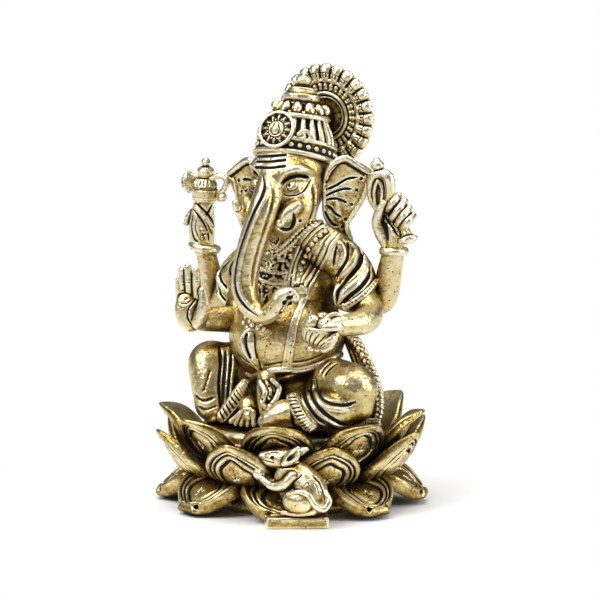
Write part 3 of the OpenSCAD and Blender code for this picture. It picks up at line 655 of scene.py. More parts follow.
def petal_row(name, nodes, profile, half_width, cup, thick, marked_top, style, first, count):
    """A row of petals round the core, no two quite alike."""
    all_p, all_q, all_t, all_d = [], [], [], []
    base = 0
    for k in range(count):
        wide = half_width * (1 + rng.normal(0, 0.025))
        lift = rng.normal(0, 0.25)
        p, q, t, d = petal_sheet([(r, z + lift * max(0, (r - profile[0][0])) / 12) for r, z in profile],
                                 wide, cup, thick, marked_top, style)
        p = p @ turn(0, 0, first + k * 360 / count + rng.normal(0, 1.0)).T
        all_p.append(p)
        all_q.append(q + base)
        all_t.append(t + base)
        all_d.append(d)
        base += len(p)
    mesh = bpy.data.meshes.new(name)
    pts = np.vstack(all_p)
    pts[:, 2] = np.maximum(pts[:, 2], 0.02)
    pts[:, :2] += SEAT[:2]
    fill_mesh(mesh, pts * MM, np.vstack(all_q), np.vstack(all_t))
    depth = np.concatenate(all_d).astype(np.float32)
    mesh.attributes.new("recess", "FLOAT", "POINT").data.foreach_set("value", depth)
    mesh.attributes.new("hollow", "FLOAT", "POINT").data.foreach_set("value",
                                                                     np.zeros(len(depth), np.float32))
    return piece(name, mesh, nodes, gold())


PETALS = 8                          # in each row

# relief of a petal's worked face: place from boss to rim, height in mm
RINGED = [(0, -0.5), (0.045, -0.5), (0.07, 0.22), (0.2, 0.30), (0.34, 0.24), (0.41, 0.05), (0.44, -0.5),
          (0.50, -0.45), (0.53, 0.16), (0.58, 0.26), (0.63, 0.14), (0.66, -0.35), (0.69, -0.40),
          (0.72, 0.12), (0.76, 0.16), (0.785, -0.30), (0.81, -0.25), (0.84, 0.36), (0.9, 0.5), (0.97, 0.34),
          (1, 0.1)]


def make_lotus():
    """The double lotus, its seat and its pin."""
    lo, hi = box_mm("lower_petals")
    tip_r = (hi[0] - lo[0]) / 2 - 0.3
    top = box_mm("outer_petals")[1][2]
    high = box_mm("inner_petals")[1][2]
    step = 360 / PETALS
    style = {"fall": 0.95, "round": 0.72, "boss": 0.60, "around": 104, "key": RINGED, "relief": 1.15}
    petal_row("lower_petal_row", ["lower_petals"],
              [(17, 6.4), (21.5, 6.0), (25.4, 4.2), (28.2, 2.3), (30.4, 1.9), (tip_r - 0.3, 2.9)], 9.3,
              (0.3, 1.0), 3.0, True, style, step / 2, PETALS)
    style = dict(style, boss=0.52, fall=1.0)
    petal_row("outer_petal_row", ["outer_petals"],
              [(17.5, 7.2), (22.3, 7.7), (26.4, 10.4), (28.4, 13.4), (29.8, 15.8), (32.2, top - 0.4)], 8.7,
              (1.8, 1.3), 1.8, False, style, 0, PETALS)
    petal_row("inner_petal_row", ["inner_petals"],
              [(18.5, 10.4), (22.5, 13.2), (25.2, 16.8), (27.0, 19.6), (28.6, 21.0), (31.0, high + 0.9)],
              8.6, (1.5, 0.9), 1.7, False, style, step / 2 - 4, PETALS)
    # the seed pod that carries the seat, with its little ringed seeds
    lo, hi = box_mm("seat_pad")
    clay = Clay(*box_mm("seat_pad"), 0.3, pad=1.2)
    r = (hi[0] - lo[0]) / 2
    clay.add(lathe((SEAT[0], SEAT[1], 0), np.eye(3), [(lo[2] - 0.9, r - 1), (lo[2], r), (hi[2] - 0.7, r),
                                                      (hi[2] - 0.1, r - 0.8), (hi[2], r - 1.6)]))
    spots = [(k * 360 / 34 + rng.normal(0, 2), r - 2.6 + rng.normal(0, 0.3)) for k in range(34)]
    spots += [(k * 360 / 24 + rng.normal(0, 3), r - 5.2 + rng.normal(0, 0.4)) for k in range(24)]
    for a, d in spots:
        p = (SEAT[0] + d * math.sin(math.radians(a)), SEAT[1] - d * math.cos(math.radians(a)), hi[2] - 0.05)
        clay.add(ring(p, np.eye(3), 0.55, 0.22), 0.1)
    cast("seed_pod_seat", clay, ["seat_pad"], gold())
    lo, hi = box_mm("lotus_core")
    clay = Clay(lo, hi, 0.4)
    clay.add(lathe((SEAT[0], SEAT[1], 0), np.eye(3), [(0.0, 19.6), (1.2, 20), (6, 19), (7.6, 19),
                                                      (hi[2] - 0.2, 21)]))
    cast("lotus_core_casting", clay, ["lotus_core"], gold())
    peg = Clay(*box_mm("seat_dowel"), 0.25)
    lo, hi = box_mm("seat_dowel")
    r = (hi[0] - lo[0]) / 2
    peg.add(lathe(((lo + hi) / 2), np.eye(3),
                  [(-(hi[2] - lo[2]) / 2, r - 0.4), (-(hi[2] - lo[2]) / 2 + 0.5, r),
                                               ((hi[2] - lo[2]) / 2 - 0.5, r),
                   ((hi[2] - lo[2]) / 2, r - 0.4)]))
    ob = cast("seat_dowel_pin", peg, ["seat_dowel"], gold())


# ---------------------------------------------------------------- mouse

def make_mouse():
    """The mouse, its sweet and its plinth."""
    lo, hi = box_mm("mouse_plinth")
    mid = (lo + hi) / 2
    a = math.atan2(mid[0] - SEAT[0], SEAT[1] - mid[1])
    m = turn(0, 0, math.degrees(a))
    out = 29.4
    base = np.array([SEAT[0] + out * math.sin(a), SEAT[1] - out * math.cos(a), 0.0])
    high = hi[2]

    def at(x, y, z):
        return base + m @ np.array([x, y, z], float)

    clay = Clay(lo, hi, 0.15)
    clay.add(block(at(0, 0, high / 2), (7.25, 4.3, high / 2), m, 0.45))
    clay.cut(block(at(-8.2, 0, high + 0.4), (1.6, 6, 1.6), m @ turn(0, 30, 0), 0.3), 0.3)
    cast("mouse_plinth_casting", clay, ["mouse_plinth"], gold())
    y = mid[1] + 0.4
    clay = Clay(mid - (10, 8.5, 2), mid + (10.5, 8.5, 17), 0.11)
    # body leaning forward, with the back's long curve and the near haunch as a ball
    clay.add(limb(*run([(4.6, 0.8, y, 3.6), (4.2, 3.2, y, 3.7), (2.2, 6.0, y, 3.0), (-0.6, 8.0, y, 2.5)]),
                  20))
    clay.add(limb(*run([(-1.2, 7.6, y - 0.6, 2.2), (-1.6, 5.2, y - 0.6, 2.4), (0.4, 2.0, y - 0.6, 2.8)]),
                  14), 0.6)
    clay.add(egg(spot(1.4, 0.4, y - 2.8), (3.8, 2.3, 3.0)), 0.2)
    clay.add(limb(*run([(4.6, -1.6, y - 2.0, 1.1), (1.4, -2.2, y - 3.4, 0.8), (-2.0, -2.1, y - 3.4, 0.6)])),
             0.2)
    clay.engrave([(-2.2, 0.6), (-1.2, 2.4), (1.0, 3.1), (3.4, 2.2), (4.8, 0.2), (6.6, -0.6)], 0.7, 0.5, 50,
                 0.08)
    clay.engrave([(-1.0, 4.4), (1.0, 5.4), (2.4, 6.6)], 0.4, 0.25, 30, 0.1)
    clay.engrave([(4.6, 6.4), (6.2, 4.6), (7.2, 2.2), (7.4, 0.6)], 0.45, 0.25, 30, 0.15)
    for k in range(12):
        u, v = rng.uniform(2, 6.5), rng.uniform(2.8, 7)
        clay.engrave([(u, v), (u + 0.5, v - 1.0)], 0.22, 0.15, 5)
    # head: blunt snout, flat brow, leaf-shaped ears
    clay.add(limb(*run([(-1.8, 9.9, y, 2.7), (-4.4, 10.1, y - 0.4, 2.1), (-6.4, 10.4, y - 0.8, 1.35)]), 14),
             0.3)
    clay.add(limb(*run([(-1.6, 9.0, y - 2.2, 0.9), (0.2, 10.6, y - 2.5, 1.5), (1.4, 12.4, y - 2.2, 0.55)]),
                  14), 0.1)
    clay.cut(limb(*run([(-0.8, 9.9, y - 3.6, 0.4), (0.2, 10.8, y - 3.9, 0.7), (0.9, 11.8, y - 3.4, 0.3)]),
                  14), 0.1)
    clay.add(limb(*run([(0.4, 10.2, y + 1.2, 0.8), (2.0, 11.6, y + 1.2, 1.05), (3.4, 12.2, y + 1.0, 0.5)]),
                  14), 0.1)
    clay.dots(quarter([(-4.5, 10.3)]), INTO, 0.5)
    clay.engrave([(-6.9, 9.9), (-5.4, 9.4), (-4.0, 9.2)], 0.35, 0.25, 20)
    clay.engrave([(-6.6, 11.0), (-4.6, 11.5), (-2.6, 11.4)], 0.3, 0.15, 20)
    clay.engrave([(-3.0, 8.2), (-1.6, 8.2), (0.6, 8.6), (2.4, 9.6)], 0.6, 0.5, 30, 0.1)
    # forearms up to the sweet
    clay.add(limb(*run([(0.4, 6.2, y - 2.2, 1.4), (-1.8, 4.2, y - 3.0, 1.25), (-4.4, 3.9, y - 2.8, 1.0),
                        (-6.8, 5.6, y - 2.0, 0.75)]), 24), 0.15)
    clay.add(limb(*run([(-1.0, 6.4, y + 1.8, 1.2), (-4.0, 5.4, y + 1.4, 1.0), (-6.4, 6.0, y, 0.7)])), 0.3)
    clay.cut(block(at(0, 0, high / 2 - 1), (9, 9, high / 2 + 1), m))
    cast("mouse_casting", clay, ["mouse_body"], gold())
    rows = [(7.6, 2.6, y - 1.0, 0.6), (8.4, 0.6, y - 1.8, 0.7), (7.2, -1.2, y - 2.8, 0.7),
            (5.2, -0.2, y - 4.0, 0.66), (3.9, 1.8, y - 4.4, 0.62), (1.6, 2.7, y - 4.6, 0.52),
            (-1.0, 2.2, y - 4.4, 0.4)]
    points, radii = run(rows)
    clay = clay_round(points, 1.2, 0.11)
    clay.add(limb(points, radii, 40))
    clay.cut(block(at(0, 0, high / 2 - 1), (12, 12, high / 2 + 1), m))
    cast("mouse_tail_casting", clay, ["mouse_tail"], gold())
    lo, hi = box_mm("mouse_sweet")
    p = spot(-7.2, 6.8, y - 1.2)
    clay = Clay(p - 2.2, p + 2.2, 0.1)
    clay.add(ball(p, 1.7))
    for k in range(9):
        d = turn(0, 20 + 40 * (k % 3), 40 * k) @ (0, 0, 1)
        clay.cut(ball(p + d * 1.4, 0.24), 0.05)
    cast("mouse_sweet_casting", clay, ["mouse_sweet"], gold())


# ---------------------------------------------------------------- figure

DRAPES = {
    "left": [(4.9, 61.0, -3.2, 3.3), (8.2, 58.2, -2.2, 4.3), (11.4, 55.2, 0.2, 4.8), (13.7, 52.4, 1.2, 4.8),
             (14.6, 49.8, 0.6, 4.8), (14.2, 47.4, -1.4, 4.4), (12.6, 46.6, -3.4, 3.4)],
    "right": [(-6.4, 57.2, -1.4, 4.0), (-9.8, 54.4, 0.2, 4.4), (-12.5, 51.4, 0.8, 4.5),
              (-13.2, 48.0, 0.4, 4.2), (-12.8, 45.2, -0.8, 3.4)],
}


def torso_shapes(clay):
    clay.add(egg(seat(0, 0.5, 7), (12.5, 10.5, 9)))
    clay.add(egg(seat(0, -2.4, 20.3), (13.6, 12.4, 11.4)), 2.5)
    clay.add(egg(seat(0, 0.2, 31.0), (11.2, 8.8, 10.2)), 2.5)
    for s in (-1, 1):
        clay.add(egg(seat(s * 4.4, -4.4, 32.0), (4.4, 3.6, 4.0)), 1.5)
        clay.add(limb([seat(s * 4, 1.2, 37.0), seat(s * 9.5, 1.6, 34.0)], [4.4, 4.4]), 2)
    clay.add(limb([seat(0, 0.8, 32), seat(0, -0.5, 42.6)], [7.6, 6.0]), 2)


def chest_shapes(clay):
    torso_shapes(clay)
    clay.add(limb(*run(DRAPES["left"]), 24), 0.8)


def make_torso():
    """The body."""
    clay = Clay(seat(-16, -17, 0), seat(16, 13, 45), 0.2)
    torso_shapes(clay)
    # the crease under the belly, and the hollow under the left arm
    clay.engrave([(-12.8, 33.6), (-9.6, 31.4), (-6.8, 30.9), (-2, 31.7), (3, 32.0), (9, 34.4)], 0.5, 0.3,
                 40)
    clay.cut(limb([spot(8.2, 51.0, -6.4), spot(8.4, 48.2, -6.6), spot(8.2, 45.0, -6.6)], [1.3, 2.2, 1.8]),
             0.6)
    # knotted chains and worked cloth behind the trunk
    for k in range(230):
        u, v = rng.uniform(-7.5, 3.4), rng.uniform(44.5, 63.5)
        if u > (4.6 if v > 61.5 else 3.0 - (61.5 - v) * 0.55 if v > 56 else -0.2):
            continue
        a = rng.uniform(0, math.pi)
        d = rng.uniform(0.4, 1.1) * np.array([math.cos(a), math.sin(a)])
        clay.engrave([(u - d[0], v - d[1]), (u + d[0], v + d[1])], rng.uniform(0.3, 0.7), 0.5, 4)
    for k in range(70):
        u, v = rng.uniform(-7.5, 0.8), rng.uniform(45, 60)
        clay.beads(quarter([(u, v)]), INTO, rng.uniform(0.25, 0.5), 0.2)
    for k in range(14):
        u, v = rng.uniform(-6.5, 0.5), rng.uniform(46, 58)
        a = rng.uniform(0, math.pi)
        clay.raise_line([(u, v), (u + 1.6 * math.cos(a), v + 1.6 * math.sin(a))], 0.4, 0.3, 5, 0.05)
    clay.raise_line([(-4.6, 55.2), (-3.4, 56.4), (-2.4, 55.0), (-3.6, 53.4), (-4.6, 55.2)], 0.5, 0.35, 24,
                    0.05, False)
    # the back: a broad crease down the spine and cloth folds over it
    clay.groove([seat(0, 0, 36), seat(0.3, 0, 28), seat(0, 0, 16)], (0, -1, 0), 1.2, 0.35, 30, 0.6)
    for k in range(5):
        h = 38 - k * 5.0
        clay.ridge([seat(-11.0, 0, h - 4.5), seat(-4, 0, h - 1), seat(4, 0, h), seat(11.0, 0, h - 1.5)],
                   (0, -1, 0), 1.0, 0.3, 40, 0.5)
    trim_to_seat(clay)
    cast("torso_casting", clay, ["torso"], gold())


def make_cloth():
    """The sash, pleats, shawl and braid."""
    torso = Clay(seat(-16, -17, 0), seat(16, 13, 45), 0.4)
    torso_shapes(torso)
    # waist sash: two rolled strands that cross at the right and part again at the left
    upper = torso.lay(quarter([(-14.2, 30.2), (-11.1, 28.2), (-9.6, 27.6), (-7.4, 28.9), (-5.0, 29.8),
                               (-1.3, 30.1), (1.2, 29.9), (4.3, 30.5), (7.3, 31.7), (11.8, 33.8)]),
                      INTO, 90)
    lower = torso.lay(quarter([(-14.0, 31.8), (-11.1, 29.5), (-9.0, 28.3), (-6.2, 28.1), (-2.5, 28.2),
                               (-0.1, 28.9), (3.0, 29.8)]), INTO, 80)
    both = np.vstack([upper, lower])
    clay = clay_round(both, 3, 0.14)
    clay.add(wire(upper - INTO * 0.45, 0.85 - 0.35 * np.linspace(-1, 1, len(upper)) ** 4), 0.12)
    clay.add(wire(lower - INTO * 0.2, 0.8 - 0.5 * np.linspace(-0.6, 1, len(lower)) ** 4), 0.12)
    clay.add(wire(upper + INTO * 0.6, 1.0), 0.3)
    clay.add(wire(lower + INTO * 0.6, 0.9), 0.3)
    clay.engrave([(-5.6, 29.0), (-2.0, 29.2), (0.6, 29.4)], 0.35, 0.3, 30, 0.08)
    cast("waist_sash_casting", clay, ["waist_sash"], gold())
    # pleats that hang between the feet in two S-shaped rolls
    clay = Clay(spot(-10.5, 16, -20), spot(1.5, 30, -9), 0.14, pad=2.5)
    clay.add(limb(*run([(-5.4, 28.0, -12.4, 2.6), (-5.2, 24.4, -13.6, 2.9), (-5.0, 20.6, -14.6, 2.6)])),
             0.4)
    for line in ([(-7.2, 27.2, 0.6), (-6.1, 24.9, 0.75), (-6.6, 22.4, 0.7), (-5.3, 20.8, 0.75)],
                 [(-8.2, 26.6, 0.4), (-7.3, 24.4, 0.5), (-7.6, 22.0, 0.5), (-6.6, 20.6, 0.4)],
                 [(-4.5, 27.6, 0.6), (-3.0, 25.7, 0.75), (-3.6, 23.4, 0.7), (-4.7, 21.9, 0.7)],
                 [(-3.2, 27.6, 0.4), (-2.0, 25.6, 0.5), (-2.5, 23.4, 0.5), (-3.6, 21.6, 0.4)],
                 [(-5.9, 27.4, 0.35), (-4.9, 25.2, 0.4), (-5.2, 23.4, 0.35)]):
        p = clay.lay(quarter([q[:2] for q in line]), INTO)
        if len(p) == len(line):
            clay.add(limb(p - INTO * 0.1, [q[2] for q in line], 24), 0.06)
    clay.beads(quarter([(-5.0, 21.6)]), INTO, 0.8, 0.5)
    for u, v in ((-5.2, 26.3), (-4.9, 23.9), (-6.9, 23.2), (-5.6, 22.4), (-4.2, 24.6)):
        clay.dots(quarter([(u, v)]), INTO, 0.4)
    cast("front_pleats_casting", clay, ["front_pleats"], gold())
    # shawl over the shoulders, with rolled folds that gather towards the armpits
    points, radii = run(DRAPES["left"])
    clay = clay_round(points, 6, 0.16)
    clay.add(limb(points, radii, 30))
    for ridge, w in (([(11.8, 59.4), (13.9, 57.9), (14.4, 56.2), (13.4, 54.0), (11.3, 51.1), (10.1, 47.8),
                       (9.9, 44.8)], 1.7),
                     ([(15.6, 56.6), (16.6, 54.6), (16.5, 52.2), (14.8, 50.0), (12.2, 47.8), (10.7, 45.4)],
                      1.9),
                     ([(10.6, 59.0), (11.6, 57.4), (11.6, 55.4), (10.7, 53.4)], 1.5)):
        clay.raise_line(ridge, w, 0.5, 60, 0.5)
    for groove, w, d in (([(14.6, 58.6), (15.6, 57.0), (15.6, 54.8), (14.3, 52.4), (12.3, 50.0),
                           (10.8, 47.8), (10.2, 45.2)], 1.1, 1.0),
                         ([(17.7, 54.6), (17.7, 53.0), (17.3, 51.1), (15.5, 48.7), (13.1, 46.7),
                           (11.0, 45.0)], 1.0, 0.9),
                         ([(12.6, 59.0), (12.8, 57.0), (12.4, 55.0), (10.9, 52.4), (9.6, 50.0)], 0.6, 0.5),
                         ([(10.2, 58.2), (9.8, 56.2), (9.4, 53.6)], 0.6, 0.4)):
        clay.engrave(groove, w, d, 60, 0.3)
    hem = [(19.2, 50.2), (17.3, 48.0), (15.1, 46.1), (12.2, 44.3)]
    clay.raise_line(hem, 1.9, 0.45, 50, 0.15, False)
    for shift in (-0.75, 0.75):
        clay.engrave([(u + shift * 0.5, v - shift) for u, v in hem], 0.35, 0.3, 50, 0.05, False)
    clay.dots(curve(quarter(hem), 12), INTO, 0.26)
    for k in range(5):
        x = 7.5 + 2.2 * k
        clay.groove([seat(x, 0, 40 - 1.4 * k), seat(x + 1.6, 0, 34 - k), seat(x + 0.4, 0, 27 - k)],
                    (0, -1, 0), 1.0, 0.5, 30, 0.4)
    clay.cut(limb([spot(8.2, 51.0, -6.4), spot(8.5, 48.2, -6.0), spot(8.4, 45.0, -6.0)], [0.9, 1.3, 1.1]),
             0.5)
    cast("left_drape_casting", clay, ["left_drape"], gold())
    points, radii = run(DRAPES["right"])
    clay = clay_round(points, 6, 0.16)
    clay.add(limb(points, radii, 30))
    for groove, w, d in (([(-14.4, 54.9), (-16.4, 52.6), (-16.1, 49.9), (-14.5, 48.1), (-12.6, 45.4)], 1.0,
                          0.8),
                         ([(-16.9, 49.4), (-16.3, 46.9), (-14.5, 44.8), (-12.6, 43.6)], 0.9, 0.7),
                         ([(-12.6, 56.0), (-14.2, 53.4), (-13.8, 50.6), (-12.0, 48.0)], 0.7, 0.5)):
        clay.engrave(groove, w, d, 50, 0.3)
    clay.raise_line([(-15.4, 54.2), (-17.0, 51.0), (-15.4, 48.2), (-13.4, 46.0)], 1.2, 0.35, 50, 0.3)
    clay.raise_line([(-17.4, 47.6), (-15.8, 45.6), (-13.6, 43.6)], 0.9, 0.35, 40, 0.15, False)
    for k in range(5):
        x = -7.5 - 2.1 * k
        clay.groove([seat(x, 0, 39 - 1.4 * k), seat(x - 1.4, 0, 33 - k), seat(x - 0.4, 0, 27 - k)],
                    (0, -1, 0), 1.0, 0.5, 30, 0.4)
    cast("right_drape_casting", clay, ["right_drape"], gold())
    # braided cord and tassel at the left hip
    rows = [(13.6, 37.6, 1.5, 1), (15.4, 35.2, 1.0, 1), (17.2, 31.6, 0.4, 1), (18.6, 28.6, 0.0, 1),
            (19.6, 25.4, -0.4, 1), (19.9, 22.4, -0.6, 1), (19.7, 19.2, -0.8, 1)]
    path = curve(run(rows)[0], 90)
    clay = clay_round(path, 2, 0.12)
    tangent = np.gradient(path, axis=0)
    tangent /= np.linalg.norm(tangent, axis=1)[:, None]
    side = np.cross(tangent, INTO)
    side /= np.linalg.norm(side, axis=1)[:, None]
    back = np.cross(tangent, side)
    s = np.arange(len(path))
    for k in range(3):
        ph = s * 0.36 + k * 2 * math.pi / 3
        strand = path + side * (0.62 * np.sin(ph))[:, None] + back * (0.34 * np.sin(2 * ph))[:, None]
        clay.add(wire(strand, 0.58), 0.03)
    clay.add(wire(path, 0.5), 0.05)
    cast("braided_sash_casting", clay, ["braided_sash"], gold())
    top, low = spot(18.6, 18.6, -0.9), spot(18.2, 15.9, -1.2)
    clay = Clay(np.minimum(top, low) - 5, np.maximum(top, low) + 4, 0.13)
    m = turn(0, 0, 28)
    clay.add(block(spot(18.5, 17.9, -0.9), (1.75, 1.3, 1.15), m, 0.25))
    clay.engrave([(16.8, 18.5), (18.4, 18.4), (20.2, 18.6)], 0.25, 0.2, 12, 0.03)
    for k in range(16):
        a = k * 2 * math.pi / 16
        b = np.array([math.cos(a), 0.8 * math.sin(a), 0])
        clay.add(limb([spot(18.5, 17.4, -0.9) + m @ b * 1.3, spot(17.9, 15.6, -1.4) + m @ b * 2.5],
                      [0.42, 0.6]), 0.05)
    trim_to_seat(clay)
    cast("sash_tassel_casting", clay, ["sash_tassel"], gold())
    rows = [(13.0, 38.0, 3.6, 1.7), (15.4, 33.0, 3.0, 2.1), (17.4, 27.0, 2.0, 2.3), (18.2, 20.6, 1.0, 2.3)]
    points, radii = run(rows)
    clay = clay_round(points, 4, 0.18)
    clay.add(limb(points, radii, 24))
    for k in range(4):
        line = [(12.2 + 0.8 * k, 37.0), (15.0 + 0.7 * k, 31.0), (16.4 + 0.8 * k, 20.0)]
        clay.engrave(line, 0.7, 0.4, 30, 0.3)
        clay.groove(quarter(line), -INTO, 0.7, 0.4, 30, 0.3)
    trim_to_seat(clay)
    cast("shawl_tail_casting", clay, ["shawl_tail"], gold())


def make_jewellery():
    """The thread, pendant, necklaces and border."""
    torso = Clay(seat(-16, -17, 0), seat(20, 13, 50), 0.3)
    chest_shapes(torso)
    torso.add([egg(neck(0, -0.4, 12.5), (8.5, 8.9, 9.6)), egg(neck(0, -5.0, 5.6), (6.4, 5.4, 6.2))], 2)
    torso.add(limb([neck(0, -1, 4), neck(0, 0, -0.5)], [6.4, 6.0]), 2)
    # double-line thread down the left of the belly
    lines = [torso.lay(quarter(p), INTO, 60) for p in
             ([(1.9, 45.4), (0.4, 41.9), (-0.5, 39.0), (-1.2, 35.5), (-1.9, 30.8)],
              [(3.4, 46.5), (2.1, 43.4), (1.0, 40.1), (0.4, 36.4), (-0.3, 31.0)])]
    both = np.vstack(lines)
    clay = clay_round(both, 2, 0.12)
    n = min(map(len, lines))
    for line in lines:
        clay.add(wire(line - INTO * 0.1, 0.36), 0.05)
    clay.add(wire((lines[0][:n] + lines[1][:n]) / 2 + INTO * 0.3, 0.8), 0.2)
    cast("sacred_thread_casting", clay, ["sacred_thread"], gold())
    # pendant: flowers of beads over a hooded leaf that tapers down to the sash
    spine = torso.lay(quarter([(-9.2, 38.6), (-9.2, 37.0), (-9.0, 34.6), (-8.1, 31.8), (-6.8, 29.6)]),
                      INTO, 30)
    clay = clay_round(spine, 5, 0.1)
    width = curve([[1.5], [2.4], [2.1], [1.4], [0.6]], len(spine))[:, 0]
    clay.add(wire(spine + INTO * (width * 0.55)[:, None], width), 0.1)
    for s in (-1, 1):
        side = spine + RIGHT * (s * (width - 0.2))[:, None] - INTO * 0.3
        clay.add(wire(side, 0.4), 0.08)
    clay.add(limb([spine[0] + RIGHT * -1.4 - INTO * 0.3, spine[0] + OVER * 0.6 - INTO * 0.4,
                   spine[0] + RIGHT * 1.4 - INTO * 0.3],
                  [0.4, 0.45, 0.4], 12), 0.08)
    for s in (-0.55, 0.35):
        line = spine[3:20] + RIGHT * (s * width[3:20])[:, None]
        clay.cut(wire(line - INTO * (width[3:20] * 0.28)[:, None], 0.34), 0.08)
    for u, v, r in ((-10.2, 39.4, 0.6), (-9.0, 40.0, 0.65), (-7.8, 39.5, 0.6), (-9.6, 41.0, 0.5),
                    (-8.3, 41.2, 0.55), (-7.0, 40.4, 0.5), (-6.4, 39.2, 0.5), (-11.0, 40.6, 0.5),
                    (-6.0, 41.0, 0.45), (-10.6, 41.9, 0.45), (-7.2, 42.0, 0.4)):
        p = torso.lay(quarter([(u, v)]), INTO)
        if len(p):
            clay.add(egg(p[0] - INTO * r * 0.3, (r, r, r * 1.2), turn(0, float(rng.uniform(-60, 60)), 0)),
                     0.05)
    cast("belly_pendant_casting", clay, ["belly_pendant"], gold())
    # the neck chain: two close rows of beads that run from under the ear to the trunk
    clay = Clay(seat(-11, -15, 32), seat(14, 4, 50), 0.13)
    for shift in (0.0, 1.1):
        row = [(5.4 - shift * 0.6, 63.2 + shift * 0.8), (3.4 - shift * 0.6, 61.9 + shift * 0.8),
               (1.7 - shift * 0.6, 60.4 + shift * 0.8), (0.1 - shift * 0.6, 58.7 + shift * 0.8),
               (-1.4 - shift * 0.5, 57.4 + shift * 0.8), (-2.9 - shift * 0.4, 56.2 + shift * 0.8)]
        p = torso.lay(quarter(row), INTO, 13)
        clay.add([ball(q - INTO * 0.3, 0.58) for q in p], 0.04)
        clay.add(wire(p + INTO * 0.2, 0.3), 0.05)
    for drop, r, n in ((3.4, 0.55, 20), (5.8, 0.45, 30)):
        a = np.linspace(-1.25, 1.25, n)
        p = np.stack([8.2 * np.sin(a), np.full(n, -8.0), 39.0 - drop * np.cos(a)], 1) + SEAT
        p = torso.lay(p, (0, 1, 0))
        clay.add([ball(q + np.array([0, -0.1, 0]), r) for q in p if q[0] * 0.883 + q[1] * 0.469 < -1], 0.05)
    cast("necklace_casting", clay, ["necklace"], gold())
    # border of the shawl: two raised lines, a dark channel with a row of beads,
    # a plain strip and an inner double line
    rows = [[(6.5, 63.5), (4.4, 61.9), (2.6, 59.7), (1.2, 57.0), (0.1, 54.0), (-0.5, 51.1), (-0.7, 48.2)],
            [(7.4, 62.6), (4.8, 60.9), (3.3, 59.0), (1.9, 56.6), (1.0, 54.4), (0.5, 51.8), (0.1, 48.4)],
            [(9.9, 60.9), (8.3, 59.0), (7.4, 57.2), (6.5, 55.1), (5.3, 53.0), (4.2, 51.2), (3.2, 49.6),
             (2.9, 48.2)],
            [(10.6, 60.4), (8.8, 58.1), (8.1, 56.2), (7.1, 54.0), (5.8, 51.8), (4.5, 49.6), (3.8, 48.0),
             (3.5, 46.5)]]
    lines = [torso.lay(quarter(p), INTO, 80) for p in rows]
    every = np.vstack(lines)
    clay = clay_round(every, 2, 0.12)
    n = min(map(len, lines))
    for a, b in ((0, 1), (1, 2), (2, 3)):
        for t in np.linspace(0, 1, 5 if (a, b) == (1, 2) else 2):
            clay.add(wire(lines[a][:n] * (1 - t) + lines[b][:n] * t + INTO * 0.5, 0.75), 0.2)
    for line in lines:
        clay.add(wire(line - INTO * 0.15, 0.34), 0.05)
    channel = [(7.0, 61.8), (5.9, 60.9), (4.6, 59.4), (3.1, 57.2), (2.0, 54.6), (1.3, 52.0), (0.8, 49.2)]
    clay.engrave(channel, 0.9, 0.75, 60, 0.05, False)
    beads = [(7.6, 61.5), (6.4, 60.6), (5.4, 59.6), (4.6, 58.6), (3.8, 57.4), (3.2, 55.9), (2.6, 54.5),
             (2.0, 52.9), (1.5, 51.3), (1.1, 49.8)]
    clay.beads(quarter(beads), INTO, 0.62, 0.25)
    clay.add(block(torso.lay(quarter([(1.6, 48.0)]), INTO)[0], (2.0, 0.7, 0.8), turn(0, 0, 28), 0.2), 0.1)
    clay.beads(quarter([(0.8, 48.9), (2.2, 48.9), (2.4, 46.8), (3.0, 45.6), (4.2, 45.8), (4.8, 44.8)]),
               INTO, 0.5, 0.3)
    cast("shawl_border_casting", clay, ["shawl_border"], gold())


def ribs(clay, line, half, r, n, slant):
    """A band of short bars across a line of the three-quarter plane, laid on the clay."""
    c = curve(line, n)
    d = np.gradient(c, axis=0)
    d /= np.linalg.norm(d, axis=1)[:, None]
    for p, q in zip(c, d):
        across = np.array([-q[1], q[0]]) * math.cos(slant) + q * math.sin(slant)
        ends = clay.lay(quarter([p - across * half, p, p + across * half]), INTO)
        if len(ends) == 3:
            clay.add(limb(ends - INTO * 0.1, [r * 0.8, r, r * 0.8], 5), 0.04)


